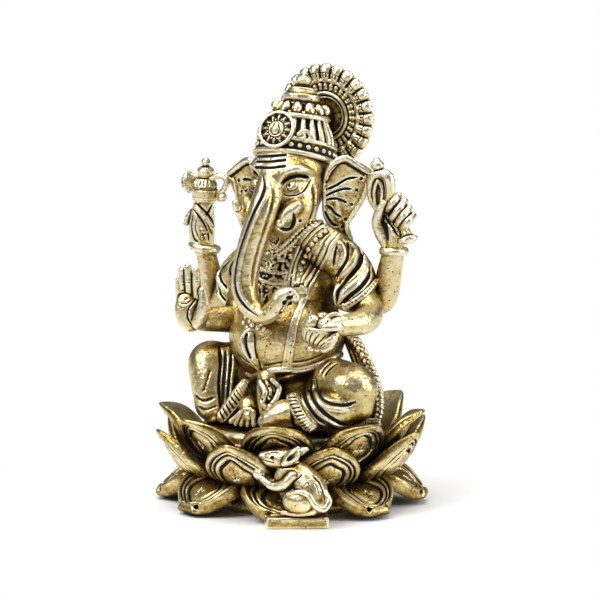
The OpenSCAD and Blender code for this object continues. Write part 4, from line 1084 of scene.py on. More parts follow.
def make_legs():
    """The crossed legs, feet and hem cuffs."""
    # right leg: raised knee with an upright shin
    clay = Clay(seat(-28, -19, 0), seat(-4, 8, 22), 0.17, pad=0.5)
    clay.add(limb([seat(-9, -1, 8.5)] + run([(-15.6, 30.8, -5.6, 5.0), (-19.2, 31.7, -8.6, 4.55),
                                             (-19.1, 27.6, -10.4, 4.25), (-18.8, 23.6, -11.6, 3.7),
                                             (-18.0, 20.9, -12.4, 3.2)])[0],
                  [7.2, 5.2, 4.55, 4.25, 3.7, 3.2], 50))
    clay.add(limb(*run([(-14.6, 33.6, -6.4, 2.6), (-15.2, 28.2, -8.8, 2.7), (-15.2, 22.0, -10.6, 2.5),
                        (-14.6, 19.6, -11.4, 2.3)])), 0.8)
    clay.add(limb([seat(-9, -3, 6), seat(-13, -7, 4), seat(-16, -10, 3.6)], [6, 4.6, 3.4]), 1.5)
    for line, w, d in (([(-16.7, 35.2), (-16.5, 31.3), (-16.8, 26.7), (-16.5, 23.0), (-16.0, 19.6)], 0.9,
                        0.8),
                       ([(-15.2, 34.0), (-15.5, 28.9), (-15.8, 25.2), (-15.8, 20.4)], 0.8, 0.6),
                       ([(-13.9, 33.6), (-14.2, 29.4), (-14.6, 25.2), (-15.0, 21.4)], 0.7, 0.6),
                       ([(-20.6, 24.6), (-19.6, 27.2), (-18.6, 30.2)], 0.8, 0.2),
                       ([(-22.4, 24.0), (-20.4, 22.8), (-17.6, 23.6)], 0.8, 0.35),
                       ([(-21.6, 21.4), (-19.6, 20.8), (-17.0, 21.8)], 0.6, 0.25)):
        clay.engrave(line, w, d, 44, 0.3)
    for k in range(4):
        clay.groove([seat(-10, 0, 14 - 3 * k), seat(-15, 0, 13 - 3 * k), seat(-20, 0, 12.5 - 2.8 * k)],
                    (0, -1, 0), 0.9, 0.4, 24, 0.35)
        clay.groove([seat(-10, -6, 13 - 3 * k), seat(0, -2, 12 - 3 * k), seat(0, 3, 11 - 2.6 * k)],
                    (1, 0, 0), 0.9, 0.3, 24, 0.4)
    trim_to_seat(clay)
    cast("right_leg_casting", clay, ["right_leg"], gold())
    # left leg: big resting knee, shin laid towards the middle
    clay = Clay(seat(-1, -21, 0), seat(28, 8, 19), 0.17, pad=0.5)
    clay.add(limb([seat(10, -1, 8.5)] + run([(10.0, 26.6, -6.0, 6.0), (13.2, 25.9, -8.6, 5.7)])[0],
                  [7.2, 6.0, 5.7], 20))
    clay.add(egg(spot(13.2, 25.9, -8.4), (6.6, 5.6, 5.3)), 0.8)
    clay.add(limb(*run([(14.2, 22.0, -9.2, 4.4), (10.4, 20.8, -12.2, 4.5), (6.4, 20.4, -14.2, 4.2),
                        (2.8, 20.6, -15.4, 3.7)])), 1.2)
    for line, w, d in (([(5.6, 27.4), (6.0, 25.1), (7.2, 23.2), (9.6, 22.3), (12.4, 22.1), (14.4, 22.8)],
                        0.8, 0.6),
                       ([(4.2, 26.4), (4.6, 23.8), (6.6, 21.0), (9.4, 18.8), (12.6, 17.4), (15.0, 18.3)],
                        0.9, 0.7),
                       ([(2.6, 25.6), (3.4, 22.8), (5.2, 20.0), (7.6, 17.8)], 0.9, 0.8),
                       ([(1.5, 25.0), (1.9, 22.4), (3.4, 19.4), (5.7, 17.4)], 0.7, 0.7),
                       ([(7.4, 28.6), (8.6, 30.2), (10.4, 31.6)], 0.8, 0.5),
                       ([(6.6, 29.0), (7.6, 30.6), (9.0, 31.8)], 0.7, 0.5)):
        clay.engrave(line, w, d, 54, 0.3)
    for line, w in (([(4.9, 26.8), (5.4, 24.4), (6.9, 22.1), (9.6, 21.0), (13.0, 20.8)], 1.1),
                    ([(3.4, 26.0), (4.0, 23.4), (5.8, 20.5), (8.6, 18.3), (12.4, 16.6), (15.6, 17.6)],
                     0.9)):
        clay.raise_line(line, w, 0.4, 54, 0.3)
    for k in range(4):
        clay.groove([seat(10, 0, 14 - 3 * k), seat(15, 0, 13 - 3 * k), seat(20, 0, 11.5 - 2.6 * k)],
                    (0, -1, 0), 0.9, 0.4, 24, 0.35)
        clay.groove([seat(10, -7, 13 - 3 * k), seat(0, -3, 12 - 3 * k), seat(0, 3, 11 - 2.6 * k)],
                    (-1, 0, 0), 0.9, 0.3, 24, 0.4)
    clay.dots([seat(9, -30, 2.2), seat(12, -30, 2.4)], (0, 1, 0), 0.4)
    trim_to_seat(clay)
    cast("left_leg_casting", clay, ["left_leg"], gold())
    # feet
    clay = Clay(seat(-16, -21, 0), seat(-1, -8, 11), 0.13)
    clay.add(limb(*run([(-10.4, 23.0, -12.2, 2.5), (-9.8, 21.2, -13.8, 2.7), (-9.4, 19.4, -15.2, 2.3)])))
    for a, b in (((-11.2, 20.6), (-13.9, 18.2)), ((-10.8, 20.9), (-12.8, 17.7)),
                 ((-10.2, 21.0), (-11.5, 17.5)), ((-9.5, 20.9), (-10.1, 17.4)),
                 ((-8.8, 20.4), (-8.7, 17.5))):
        p = [spot(*a, -16.4), spot(*b, -17.0)]
        clay.add(limb(p, [0.62, 0.6]), 0.12)
    trim_to_seat(clay)
    cast("right_foot_casting", clay, ["right_foot"], gold())
    clay = Clay(seat(-6, -24, 0), seat(9, -9, 11), 0.13)
    clay.add(limb(*run([(0.6, 20.4, -16.0, 3.55), (-2.2, 19.9, -17.2, 3.1), (-4.6, 18.9, -18.2, 2.45),
                        (-6.2, 18.2, -18.9, 1.6)])))
    for k in range(5):
        p = [spot(-5.4, 19.2 - 0.62 * k, -19.2 + 0.12 * k),
             spot(-6.9 + 0.1 * k, 18.9 - 0.62 * k, -19.8 + 0.16 * k)]
        clay.add(limb(p, [0.6, 0.52]), 0.12)
    trim_to_seat(clay)
    cast("left_foot_casting", clay, ["left_foot"], gold())
    # hem cuffs: bands of short ribs between two edge lines
    clay = Clay(seat(-18, -21, 0), seat(-4, -7, 12), 0.12)
    clay.add(limb(*run([(-10.8, 26.6, -13.4, 1.3), (-12.2, 24.3, -14.4, 1.6), (-14.0, 21.6, -15.2, 1.7),
                        (-15.8, 19.2, -15.8, 1.4)]), 16))
    for shift in (-1.15, 1.15):
        line = [(-10.6 + shift * 0.8, 26.3 + shift * -0.6), (-12.0 + shift * 0.8, 24.5 - shift * 0.6),
                (-13.9 + shift * 0.8, 21.8 - shift * 0.6), (-16.1 + shift * 0.7, 19.1 - shift * 0.6)]
        clay.raise_line(line, 0.5, 0.3, 40, 0.05, False)
    ribs(clay, [(-10.5, 26.4), (-12.0, 24.6), (-13.9, 21.8), (-16.3, 19.0)], 0.85, 0.4, 11, 0.35)
    trim_to_seat(clay)
    cast("right_anklet_casting", clay, ["right_anklet"], gold())
    clay = Clay(seat(2, -25, 0), seat(19, -12, 11), 0.12)
    clay.add(limb(*run([(0.3, 23.4, -17.6, 1.5), (1.3, 21.3, -18.6, 1.7), (2.6, 19.2, -19.4, 1.8),
                        (4.2, 17.5, -19.9, 1.5)]), 16))
    cuff = [(-0.1, 24.1), (0.8, 21.8), (2.1, 19.3), (3.6, 17.5), (5.2, 16.5)]
    for shift in (-1.1, 1.1):
        clay.raise_line([(u + shift * 0.8, v + shift * 0.5) for u, v in cuff], 0.5, 0.3, 44, 0.05, False)
    ribs(clay, cuff, 0.85, 0.4, 13, 0.35)
    trim_to_seat(clay)
    cast("left_anklet_casting", clay, ["left_anklet"], gold())


# ---------------------------------------------------------------- arms

ARMS = {
    "goad_arm": [(-11.5, 51.6, 3.0, 4.2), (-14.8, 47.2, 4.6, 3.9), (-17.3, 45.6, 4.8, 3.5),
                 (-18.4, 48.2, 4.4, 3.1), (-19.0, 52.2, 3.8, 2.65), (-19.8, 56.4, 3.2, 2.3),
                 (-20.2, 58.2, 2.9, 2.2)],
    "blessing_arm": [(-11.0, 50.0, 0.0, 4.2), (-11.6, 44.6, -2.0, 3.8), (-13.2, 41.9, -4.6, 3.3),
                     (-17.0, 41.5, -8.0, 2.95), (-20.6, 41.4, -11.2, 2.6), (-22.4, 41.8, -12.6, 2.3)],
    "noose_arm": [(11.5, 52.6, 2.4, 4.2), (15.6, 48.0, 3.2, 4.0), (18.3, 45.7, 3.6, 3.6),
                  (20.6, 46.3, 3.8, 3.25), (21.7, 48.8, 3.8, 3.0), (22.2, 52.2, 3.6, 2.85),
                  (22.9, 55.6, 3.4, 2.6), (23.2, 57.4, 3.2, 2.35)],
    "bowl_arm": [(12.6, 50.6, 0.6, 4.0), (16.4, 45.4, -0.8, 3.8), (17.4, 42.4, -3.4, 3.3),
                 (15.6, 40.8, -8.0, 2.9), (12.2, 40.2, -12.4, 2.45), (10.2, 40.1, -14.8, 2.15)],
}


def make_arms():
    """The four arms and their bangles."""
    for name, rows in ARMS.items():
        points, radii = run(rows)
        clay = clay_round(points, 4.6, 0.16)
        clay.add(limb(points, radii, 44))
        cast(name + "_casting", clay, [name], gold())
    for name, (u, v, y), r, t, m in (("goad_bangle", (-20.2, 58.0, 2.9), 2.95, 0.95, turn(-6, 9, 0)),
                                     ("noose_bangle", (23.2, 57.0, 3.3), 2.45, 1.0, turn(-4, -2, 0)),
                                     ("bowl_bangle", (9.6, 40.3, -15.2), 2.45, 0.5,
                                      turn(0, 0, 52) @ turn(90, 0, 0) @ turn(4, -8, 0))):
        c = spot(u, v, y)
        clay = Clay(c - 4.6, c + 4.6, 0.12)
        clay.add(ring(c, m, r, t))
        cast(name + "_casting", clay, [name], gold())


def make_hands():
    """The four hands."""
    # upper right: hand closed like a bud round the goad's stem
    c = spot(-20.8, 63.5, 2.6)
    clay = Clay(c - (6, 5, 7), c + (6, 5, 7), 0.12)
    clay.add(limb(*run([(-20.3, 57.6, 2.9, 2.3), (-20.8, 60.2, 2.7, 2.85), (-20.8, 63.4, 2.6, 3.0),
                        (-20.6, 66.2, 2.5, 2.6), (-20.2, 68.2, 2.4, 2.15)]), 24))
    clay.raise_line([(-23.0, 68.4), (-21.8, 67.0), (-20.4, 65.4), (-19.0, 63.5), (-18.2, 61.2)], 1.2, 0.5,
                    50, 0.2)
    clay.engrave([(-22.3, 68.9), (-21.0, 67.3), (-19.7, 65.9), (-18.4, 64.2), (-17.8, 62.4)], 0.5, 0.5, 50,
                 0.08)
    clay.engrave([(-22.9, 67.0), (-21.8, 65.6), (-20.4, 63.6), (-19.4, 61.0), (-19.3, 59.4)], 0.45, 0.4, 50,
                 0.08)
    clay.engrave([(-18.2, 68.8), (-18.9, 67.0), (-19.9, 65.4)], 0.6, 0.5, 30, 0.1)
    clay.engrave([(-22.8, 66.0), (-23.2, 63.0), (-22.6, 60.2), (-21.6, 59.2)], 0.6, 0.5, 40, 0.1)
    clay.engrave([(-22.1, 64.6), (-22.3, 62.4), (-21.6, 60.4)], 0.3, 0.2, 30, 0.08)
    for k in range(8):
        clay.beads(quarter([(-20.6 + rng.uniform(-0.8, 0.9), 61.6 + rng.uniform(-1.6, 1.8))]), INTO, 0.32,
                   0.2)
    for k in range(3):
        a, b = (-23.1 - 0.25 * k, 66.4 - 0.9 * k), (-24.3 - 0.15 * k, 64.9 - 0.75 * k)
        clay.add(limb([spot(*a, 1.8), spot(*b, 1.4)], [0.62, 0.55]), 0.08)
    cast("goad_hand_casting", clay, ["goad_hand"], gold())
    # lower right: open palm raised in blessing, four fingers side by side and the thumb along the edge
    c = spot(-23.0, 44.0, -13.2)
    clay = Clay(c - (6, 5.5, 8), c + (7, 5.5, 13), 0.11)
    m = np.stack([RIGHT, INTO, OVER], 1)
    clay.add(egg(spot(-23.1, 43.6, -13.2), (3.75, 1.75, 5.0), m))
    clay.add(limb(*run([(-22.6, 41.6, -12.0, 2.3), (-23.0, 42.6, -12.8, 2.2)])), 1.0)
    for a, b, r in (((-25.7, 46.0), (-26.0, 50.3), 0.88), ((-24.9, 46.6), (-25.2, 52.6), 1.0),
                    ((-23.3, 46.8), (-23.8, 53.4), 1.02), ((-21.7, 46.8), (-21.9, 52.5), 0.98)):
        clay.add(limb([spot(*a, -13.0), spot(*((np.array(a) + b) / 2), -13.5), spot(*b, -13.6)],
                      [r, r, r * 0.82], 10), 0.1)
    clay.add(limb(*run([(-21.4, 41.0, -13.4, 1.9), (-20.3, 43.6, -13.8, 1.6), (-20.1, 46.0, -14.0, 1.2),
                        (-20.5, 48.0, -14.0, 0.9)]), 14), 0.25)
    clay.engrave([(-21.9, 46.4), (-22.6, 45.3), (-23.6, 43.9), (-23.9, 42.0), (-22.9, 40.2)], 0.4, 0.35, 40,
                 0.1)
    clay.engrave([(-26.2, 47.0), (-24.6, 47.5), (-22.8, 47.0)], 0.35, 0.25, 24, 0.1)
    clay.engrave([(-25.6, 45.2), (-24.2, 45.0), (-23.0, 45.8)], 0.3, 0.18, 24, 0.1)
    for u, v in ((-25.3, 49.2), (-25.0, 48.0), (-23.8, 49.8), (-24.2, 46.0), (-22.0, 50.0)):
        clay.engrave([(u - 0.5, v), (u + 0.5, v + 0.1)], 0.3, 0.18, 6, 0.08)
    cast("blessing_hand_casting", clay, ["blessing_hand"], gold())
    # upper left: fist round the noose
    c = spot(23.6, 63.4, 2.6)
    clay = Clay(c - (7, 6, 7.4), c + (7, 6, 7.6), 0.12)
    clay.add(limb(*run([(23.2, 57.4, 3.2, 2.3), (23.4, 60.2, 3.2, 2.5), (24.2, 63.2, 3.6, 2.6),
                        (24.6, 65.8, 3.8, 2.3)]), 20))
    for a, b, y in (((24.3, 69.6), (21.9, 66.6), 1.0), ((25.6, 68.3), (23.0, 64.6), 0.6),
                    ((26.6, 66.7), (24.1, 63.3), 0.4), ((27.5, 65.0), (25.3, 62.4), 0.4)):
        mid = (np.array(a) + b) / 2
        clay.add(limb([spot(*a, y + 2.2), spot(*mid, y), spot(*b, y + 0.3),
                       spot(b[0] - 0.3, b[1] - 0.2, y + 1.8)], [0.85, 0.95, 0.85, 0.6], 14), 0.04)
    clay.add(limb(*run([(21.4, 59.0, 2.0, 1.5), (20.1, 61.2, 1.2, 1.45), (19.3, 63.6, 0.8, 1.25),
                        (19.8, 65.8, 0.6, 1.05), (20.9, 67.8, 0.8, 0.8)]), 24), 0.15)
    clay.add(limb(*run([(22.2, 67.2, 3.6, 1.3), (22.2, 64.6, 3.4, 1.8), (22.4, 61.6, 3.2, 2.0)])), 0.4)
    clay.engrave([(20.7, 65.9), (21.5, 64.6), (22.3, 63.4), (23.3, 62.0), (23.8, 60.8)], 0.8, 0.9, 40, 0.1)
    clay.engrave([(21.3, 63.6), (21.7, 61.6), (21.9, 59.4)], 0.5, 0.4, 30, 0.15)
    clay.engrave([(22.4, 63.2), (23.4, 61.4), (24.2, 60.4)], 0.35, 0.3, 30, 0.08)
    cast("noose_hand_casting", clay, ["noose_hand"], gold())
    # lower left: cupped hand under the bowl, thumb over its rim
    c = spot(8.0, 38.6, -15.6)
    clay = Clay(c - (8, 6.5, 6), c + (7, 6.5, 6), 0.12)
    clay.add(limb(*run([(10.2, 40.1, -14.8, 2.1), (8.6, 38.6, -15.6, 1.8), (6.0, 36.4, -15.8, 1.4)]), 12))
    clay.add(limb(*run([(10.6, 39.9, -16.8, 1.1), (9.2, 39.7, -18.2, 1.0), (7.4, 39.6, -19.2, 0.92)]), 12),
             0.2)
    for k in range(3):
        rows = [(9.4 - 1.0 * k, 37.2 - 0.3 * k, -15.6, 0.95), (8.4 - 1.3 * k, 35.4 - 0.1 * k, -16.0, 0.95),
                (7.2 - 1.5 * k, 34.6 + 0.1 * k, -16.6, 0.8)]
        clay.add(limb(*run(rows), 8), 0.1)
    clay.add(limb(*run([(9.8, 38.0, -17.4, 0.8), (8.8, 37.0, -18.6, 0.75), (7.8, 36.6, -19.4, 0.6)]), 8),
             0.1)
    cast("bowl_hand_casting", clay, ["bowl_hand"], gold())


def make_held_things():
    """The goad, the noose and the bowl of sweets."""
    # goad: turned body, pale flat blade on one side, curled hook on the other
    foot = spot(-20.2, 67.2, 2.4)
    m = turn(0, 2, 0)
    clay = Clay(foot - (4, 4, 1), foot + (4, 4, 12.5), 0.09)
    clay.add(lathe(foot, m, [(0, 1.5), (0.7, 1.8), (1.3, 2.3), (1.8, 2.85), (2.4, 3.0), (3.6, 3.05),
                             (4.3, 3.0), (4.5, 2.75), (4.7, 2.95), (4.9, 2.7), (5.2, 2.9), (5.7, 2.75),
                             (6.8, 2.0), (7.2, 1.7), (7.6, 1.8), (8.1, 2.0), (8.8, 2.0), (9.3, 1.7),
                             (9.7, 1.1), (9.9, 0.8), (10.3, 1.0), (10.8, 1.05), (11.3, 0.85), (11.8, 0.3)]))
    for k in range(16):
        t = 2 * math.pi * k / 16
        clay.cut(rod(foot + m @ (3.0 * math.cos(t), 3.0 * math.sin(t), 5.4),
                     foot + m @ (2.1 * math.cos(t), 2.1 * math.sin(t), 6.9), 0.24), 0.04)
    clay.cut([ring(foot + m @ (0, 0, h), m, r, 0.17) for h, r in ((2.0, 3.0), (4.6, 2.9), (5.0, 2.9),
                                                                  (7.1, 1.8), (9.75, 1.05))], 0.04)
    cast("goad_body_casting", clay, ["goad_body"], gold())
    y = 2.2
    c = spot(-23.7, 73.2, y)
    clay = Clay(c - 4, c + 4, 0.1)
    flat = np.stack([RIGHT, OVER, INTO], 1)
    clay.add(egg(c, (1.9, 2.6, 0.6), flat))
    clay.add(egg(c + RIGHT * 1.4, (2.2, 1.7, 0.6), flat), 0.4)
    clay.cut(egg(c + RIGHT * 1.4 + OVER * 2.6 - INTO * 0.3, (1.3, 0.9, 0.8), flat), 0.2)
    clay.raise_line([(-25.3, 71.6), (-25.5, 73.4), (-24.9, 75.2), (-23.4, 75.9)], 0.4, 0.2, 30, 0.1)
    cast("goad_blade_casting", clay, ["goad_blade"], gold())
    line = run([(-18.4, 73.9, y, 0.7), (-16.9, 74.5, y, 0.7), (-15.4, 74.0, y, 0.72),
                (-15.0, 72.8, y, 0.78), (-15.8, 71.2, y, 0.75), (-16.9, 70.0, y, 0.6),
                (-16.6, 69.2, y, 0.7)])
    clay = clay_round(line[0], 2.4, 0.1)
    clay.add(limb(*line, 40))
    clay.add(ball(spot(-16.0, 69.5, y - 0.2), 1.05), 0.08)
    clay.add(limb([spot(-18.4, 73.9, y), spot(-19.4, 73.6, y)], [0.7, 0.8]), 0.1)
    cast("goad_hook_casting", clay, ["goad_hook"], gold())
    # noose: a thick rolled loop round a dark slot, with a finial
    y = 2.2
    c = spot(20.4, 71.6, y)
    clay = Clay(c - (6, 5, 7), c + (6, 5, 8), 0.11)
    clay.add(limb(*run([(19.6, 66.4, y, 0.9), (18.2, 68.8, y, 0.95), (17.9, 72.0, y, 1.0),
                        (18.7, 74.0, y, 1.1), (20.3, 74.6, y, 1.2), (21.8, 73.8, y, 1.3),
                        (22.3, 71.8, y + 0.2, 1.25), (22.2, 69.6, y + 0.3, 1.2),
                        (22.0, 67.6, y + 0.4, 1.1)]), 60))
    clay.add(limb(*run([(18.9, 67.6, y - 0.5, 0.42), (18.75, 70.8, y - 0.5, 0.45),
                        (19.6, 72.9, y - 0.5, 0.5), (20.5, 71.2, y - 0.5, 0.45),
                        (20.3, 67.6, y - 0.5, 0.42)]), 40), 0.05)
    clay.add(limb(*run([(19.7, 67.4, y + 0.9, 1.2), (19.7, 71.0, y + 0.9, 1.2),
                        (20.6, 72.6, y + 0.8, 1.3)]), 10), 0.3)
    clay.engrave([(21.2, 68.4), (21.3, 71.2), (20.9, 73.2), (19.9, 73.9)], 0.35, 0.3, 40, 0.08)
    clay.add(egg(spot(19.4, 76.5, y), (1.65, 1.5, 1.25)), 0.04)
    clay.add(ball(spot(19.3, 77.6, y), 0.8), 0.35)
    cast("noose_loop_casting", clay, ["noose_loop"], gold())
    c = spot(26.2, 60.6, 1.6)
    clay = Clay(c - (4.5, 4, 4), c + (4.5, 4, 4), 0.11)
    clay.add(limb(*run([(25.4, 62.6, 2.0, 0.95), (25.9, 61.2, 1.6, 1.1), (26.3, 60.0, 1.4, 1.4)]), 12))
    clay.add(egg(spot(26.4, 59.6, 1.4), (2.3, 1.5, 1.05),
                 np.stack([RIGHT * 0.97 + OVER * 0.24, INTO, OVER * 0.97 - RIGHT * 0.24], 1)), 0.3)
    clay.engrave([(24.3, 59.8), (25.8, 60.5), (27.6, 60.9), (28.4, 60.7)], 0.4, 0.35, 24, 0.08)
    cast("noose_tail_casting", clay, ["noose_tail"], gold())
    # bowl with folded ribs, and its sweets
    lean = np.stack([RIGHT * 0.97 - OVER * 0.22, INTO, OVER * 0.97 + RIGHT * 0.22], 1)
    foot = spot(5.4, 35.0, -17.0)
    clay = Clay(foot - (6, 6, 2.5), foot + (6, 6, 6.5), 0.11)
    clay.add(lathe(foot, lean, [(0.0, 1.2), (0.4, 2.2), (1.2, 3.1), (2.2, 3.7), (3.2, 4.0), (3.9, 4.05),
                                (4.3, 3.8)]))
    for k in range(16):
        t = 2 * math.pi * k / 16
        pts = [foot + lean @ np.array([r * math.cos(t + s), r * math.sin(t + s), z]) for r, z, s in
               ((1.6, 0.0, 0), (3.1, 1.0, 0.12), (3.9, 2.4, 0.3), (4.05, 3.2, 0.4))]
        clay.cut(limb(pts, [0.2, 0.34, 0.3, 0.2], 10), 0.08)
    clay.add(ring(foot + lean @ (0, 0, 4.0), lean, 3.75, 0.36), 0.05)
    cast("sweets_bowl_casting", clay, ["sweets_bowl"], gold())
    c = foot + lean @ np.array([0, 0, 4.2])
    clay = Clay(c - (5, 5, 2), c + (5, 5, 5.6), 0.1)
    balls = [(2.1 * math.cos(t), 2.1 * math.sin(t), 1.3, 1.95)
             for t in np.arange(4) * math.pi / 2 + 3.6] + [(0, 0, 2.4, 1.8)]
    where = [(c + lean @ np.array([x, y_, z]), r) for x, y_, z, r in balls]
    clay.add([ball(p, r) for p, r in where], 0.05)
    for p, r in where:
        for k in range(3):
            t = k * 2.1 + p[0]
            clay.cut(ball(p - INTO * r * 0.75 + RIGHT * r * 0.42 * math.cos(t) + OVER * r * 0.42
                          * (math.sin(t) + 0.5), 0.24), 0.03)
    cast("sweets_casting", clay, ["sweets"], gold())


# ---------------------------------------------------------------- head

def make_head():
    """The head."""
    clay = Clay(neck(-11, -13, -2), neck(11, 10, 25), 0.14)
    clay.add(egg(neck(0, -0.4, 12.5), (8.5, 8.9, 9.6)))
    clay.add(egg(neck(0, 2.0, 15.6), (8.8, 8.3, 5.6)), 0.8)
    clay.add(egg(neck(0, -1.6, 16.4), (7.6, 6.1, 4.8)), 1.5)
    clay.add(egg(neck(0, -5.0, 5.6), (6.4, 5.4, 6.2)), 2.5)
    clay.add(limb([neck(0, -1, 4), neck(0, 0, -0.5)], [6.4, 6.0]), 2)
    for s in (-1, 1):
        clay.add(egg(neck(s * 5.0, -4.2, 7.6), (3.6, 4.4, 5.4)), 2)
        clay.add(egg(neck(s * 3.4, -6.2, 15.6), (3.4, 2.6, 2.2)), 1.4)
    clay.add(egg(neck(0, -8.4, 11.0), (3.6, 2.6, 6)), 2)
    # under each brow a shallow hollow with the almond of the eye in it
    for s in (-1, 1):
        if s > 0:
            way, plane = INTO, quarter
        else:
            way = INTO * (-1, 1, 1)

            def plane(pairs):
                return quarter(pairs) * (-1, 1, 1)

        clay.cut(limb(clay.lay(plane([(-2.4, 70.4), (-1.4, 72.2), (0.6, 73.2), (3.4, 72.9)]),
                               way) - way * 1.6,
                      [1.9, 2.3, 2.3, 1.9]), 1.2)
        clay.add(wire(clay.lay(plane([(-1.3, 71.0), (0.6, 71.6), (2.2, 72.1)]), way) + way * 1.15,
                      [1.2, 1.7, 1.3]), 0.4)
        clay.ridge(plane([(-3.3, 70.6), (-3.0, 73.0), (-1.4, 74.8), (0.6, 75.5), (2.8, 75.4), (4.8, 74.6)]),
                   way, 1.5, 0.35, 50, 0.6)
        clay.groove(plane([(-2.7, 70.6), (-2.7, 71.8), (-1.5, 73.2), (0.2, 74.0), (2.0, 74.2),
                           (4.2, 73.7)]), way, 1.0, 0.9, 60, 0.08)
        clay.ridge(plane([(-2.5, 70.7), (-1.4, 72.2), (0.2, 73.1), (2.0, 73.3), (4.0, 73.1)]), way, 0.4,
                   0.15, 50, 0.1)
        clay.groove(plane([(-2.6, 70.2), (-1.6, 69.8), (-0.6, 69.5), (1.4, 69.8), (3.0, 71.0),
                           (4.2, 73.3)]), way, 0.4, 0.3, 50, 0.06)
        clay.groove(plane([(-1.4, 72.0), (-0.9, 70.9), (0.1, 70.6), (1.1, 71.3), (1.5, 72.6)]), way, 0.3,
                    0.2, 30, 0.05)
        clay.dots(plane([(-0.6, 71.9)]), way, 0.36)
        # cheek, mouth corner and the small mark under it
        clay.dots(plane([(1.9, 63.8)]), way, 0.42)
        clay.add(limb(clay.lay(plane([(1.4, 67.4), (-0.4, 65.9), (-1.5, 64.8)]), way) - way * 0.5,
                      [0.9, 1.6, 1.7]), 1.3)
        clay.groove(plane([(-3.0, 62.6), (-1.6, 61.9), (-0.2, 62.3), (0.5, 64.0), (0.3, 65.6)]), way, 0.9,
                    0.7, 40, 0.25)
        clay.groove(plane([(5.0, 72.0), (5.4, 69.0), (5.1, 66.0), (4.2, 63.6)]), way, 1.2, 0.25, 30, 0.6)
    # worked cloth and chains that run up under the chin
    for k in range(70):
        u, v = rng.uniform(-5.5, 3.2), rng.uniform(56.5, 62.0)
        if v > 60.6 + 0.25 * u:
            continue
        t = rng.uniform(0, math.pi)
        d = rng.uniform(0.4, 1.0) * np.array([math.cos(t), math.sin(t)])
        clay.engrave([(u - d[0], v - d[1]), (u + d[0], v + d[1])], rng.uniform(0.3, 0.7), 0.5, 4)
    # three level bars engraved on the forehead
    for line in ([(-7.9, 78.6), (-4.6, 78.6), (-1.5, 78.8)], [(-8.1, 77.4), (-4.8, 77.3), (-1.6, 77.6)],
                 [(-8.2, 76.1), (-4.8, 75.9), (-1.7, 76.2)]):
        clay.engrave(line, 0.8, 0.65, 40, 0.08, False)
    clay.dots([neck(0.8 * k, -20, 20.5) for k in (-3, 3)], (0, 1, 0), 0.3)
    cast("head_casting", clay, ["head"], gold())


TRUNK = [(-4.6, 72.4, -8.8, 3.3), (-5.3, 69.6, -11.0, 3.5), (-6.6, 65.8, -13.0, 3.45),
         (-8.1, 61.4, -14.0, 3.3), (-9.5, 56.8, -14.8, 3.2), (-10.5, 52.2, -15.6, 3.1),
         (-10.7, 48.0, -16.2, 2.95), (-9.2, 44.3, -16.8, 2.6), (-6.2, 42.5, -17.2, 2.25),
         (-3.6, 44.4, -17.2, 2.1), (-2.2, 46.6, -16.9, 1.95), (-0.4, 47.3, -16.6, 1.6),
         (0.9, 46.4, -16.4, 1.15)]


def make_trunk():
    """The trunk and tusks."""
    points, radii = run(TRUNK)
    lo, hi = np.min(points, axis=0) - 5, np.max(points, axis=0) + 5
    clay = Clay(lo, hi, 0.14)
    clay.add(limb(points, radii, 80))
    # engraved double line down the right edge, a soft keel down the middle
    edge = [(-6.6, 74.2), (-6.2, 71.6), (-6.9, 69.0), (-8.0, 66.9), (-9.3, 64.2), (-10.8, 60.3),
            (-12.0, 56.6), (-12.8, 52.6), (-12.9, 49.2), (-12.0, 46.3), (-10.0, 43.9), (-7.8, 42.3)]
    clay.engrave(edge, 0.8, 0.6, 130, 0.12)
    clay.raise_line([(u + 1.0, v + 0.1) for u, v in edge], 0.8, 0.3, 130, 0.3)
    clay.engrave([(-4.2, 70.6), (-4.6, 67.0), (-5.8, 62.6), (-7.4, 57.6), (-8.6, 52.6), (-8.9, 49.0)], 0.9,
                 0.25, 90, 0.5)
    # the curled tip: dark lips on its lower side
    for p, r in (((-0.6, 46.3), 0.55), ((-1.6, 45.3), 0.5), ((-1.3, 43.9), 0.4), ((-2.3, 42.9), 0.45),
                 ((-0.3, 47.6), 0.32)):
        q = clay.lay(quarter([p]), INTO)
        if len(q):
            clay.cut(egg(q[0], (r * 1.4, r, r)), 0.15)
    clay.engrave([(0.9, 47.2), (-0.3, 46.4), (-1.5, 45.2), (-2.3, 43.6), (-3.2, 42.2)], 0.5, 0.3, 30, 0.15)
    cast("trunk_casting", clay, ["trunk"], gold())
    a, b = spot(-1.0, 65.1, -9.9), spot(-1.9, 64.3, -10.9)
    clay = Clay(np.minimum(a, b) - 3.8, np.maximum(a, b) + 3.8, 0.11)
    clay.add(limb([a, b], [1.45, 1.5], 8))
    clay.add(egg(spot(-2.7, 63.4, -11.9), (1.25, 1.1, 1.15)), 0.08)
    clay.engrave([(-3.2, 65.2), (-2.0, 64.9), (-0.9, 63.9), (-0.6, 62.6)], 0.45, 0.35, 16, 0.08)
    cast("left_tusk_casting", clay, ["left_tusk"], gold())
    pts = [spot(-8.6, 66.2, -10.6), spot(-10.9, 65.2, -12.6), spot(-12.4, 66.6, -13.8),
           spot(-12.9, 67.9, -14.2)]
    clay = clay_round(pts, 2.5, 0.11)
    clay.add(limb(pts, [1.6, 1.35, 1.05, 0.75], 16))
    clay.engrave([(-12.9, 66.0), (-11.9, 66.0), (-11.0, 67.2)], 0.3, 0.2, 12, 0.08)
    cast("right_tusk_casting", clay, ["right_tusk"], gold())


EAR_FACE = (-3.4, 0.32)         # depth of the ear's sheet at the middle, and how it falls back sideways


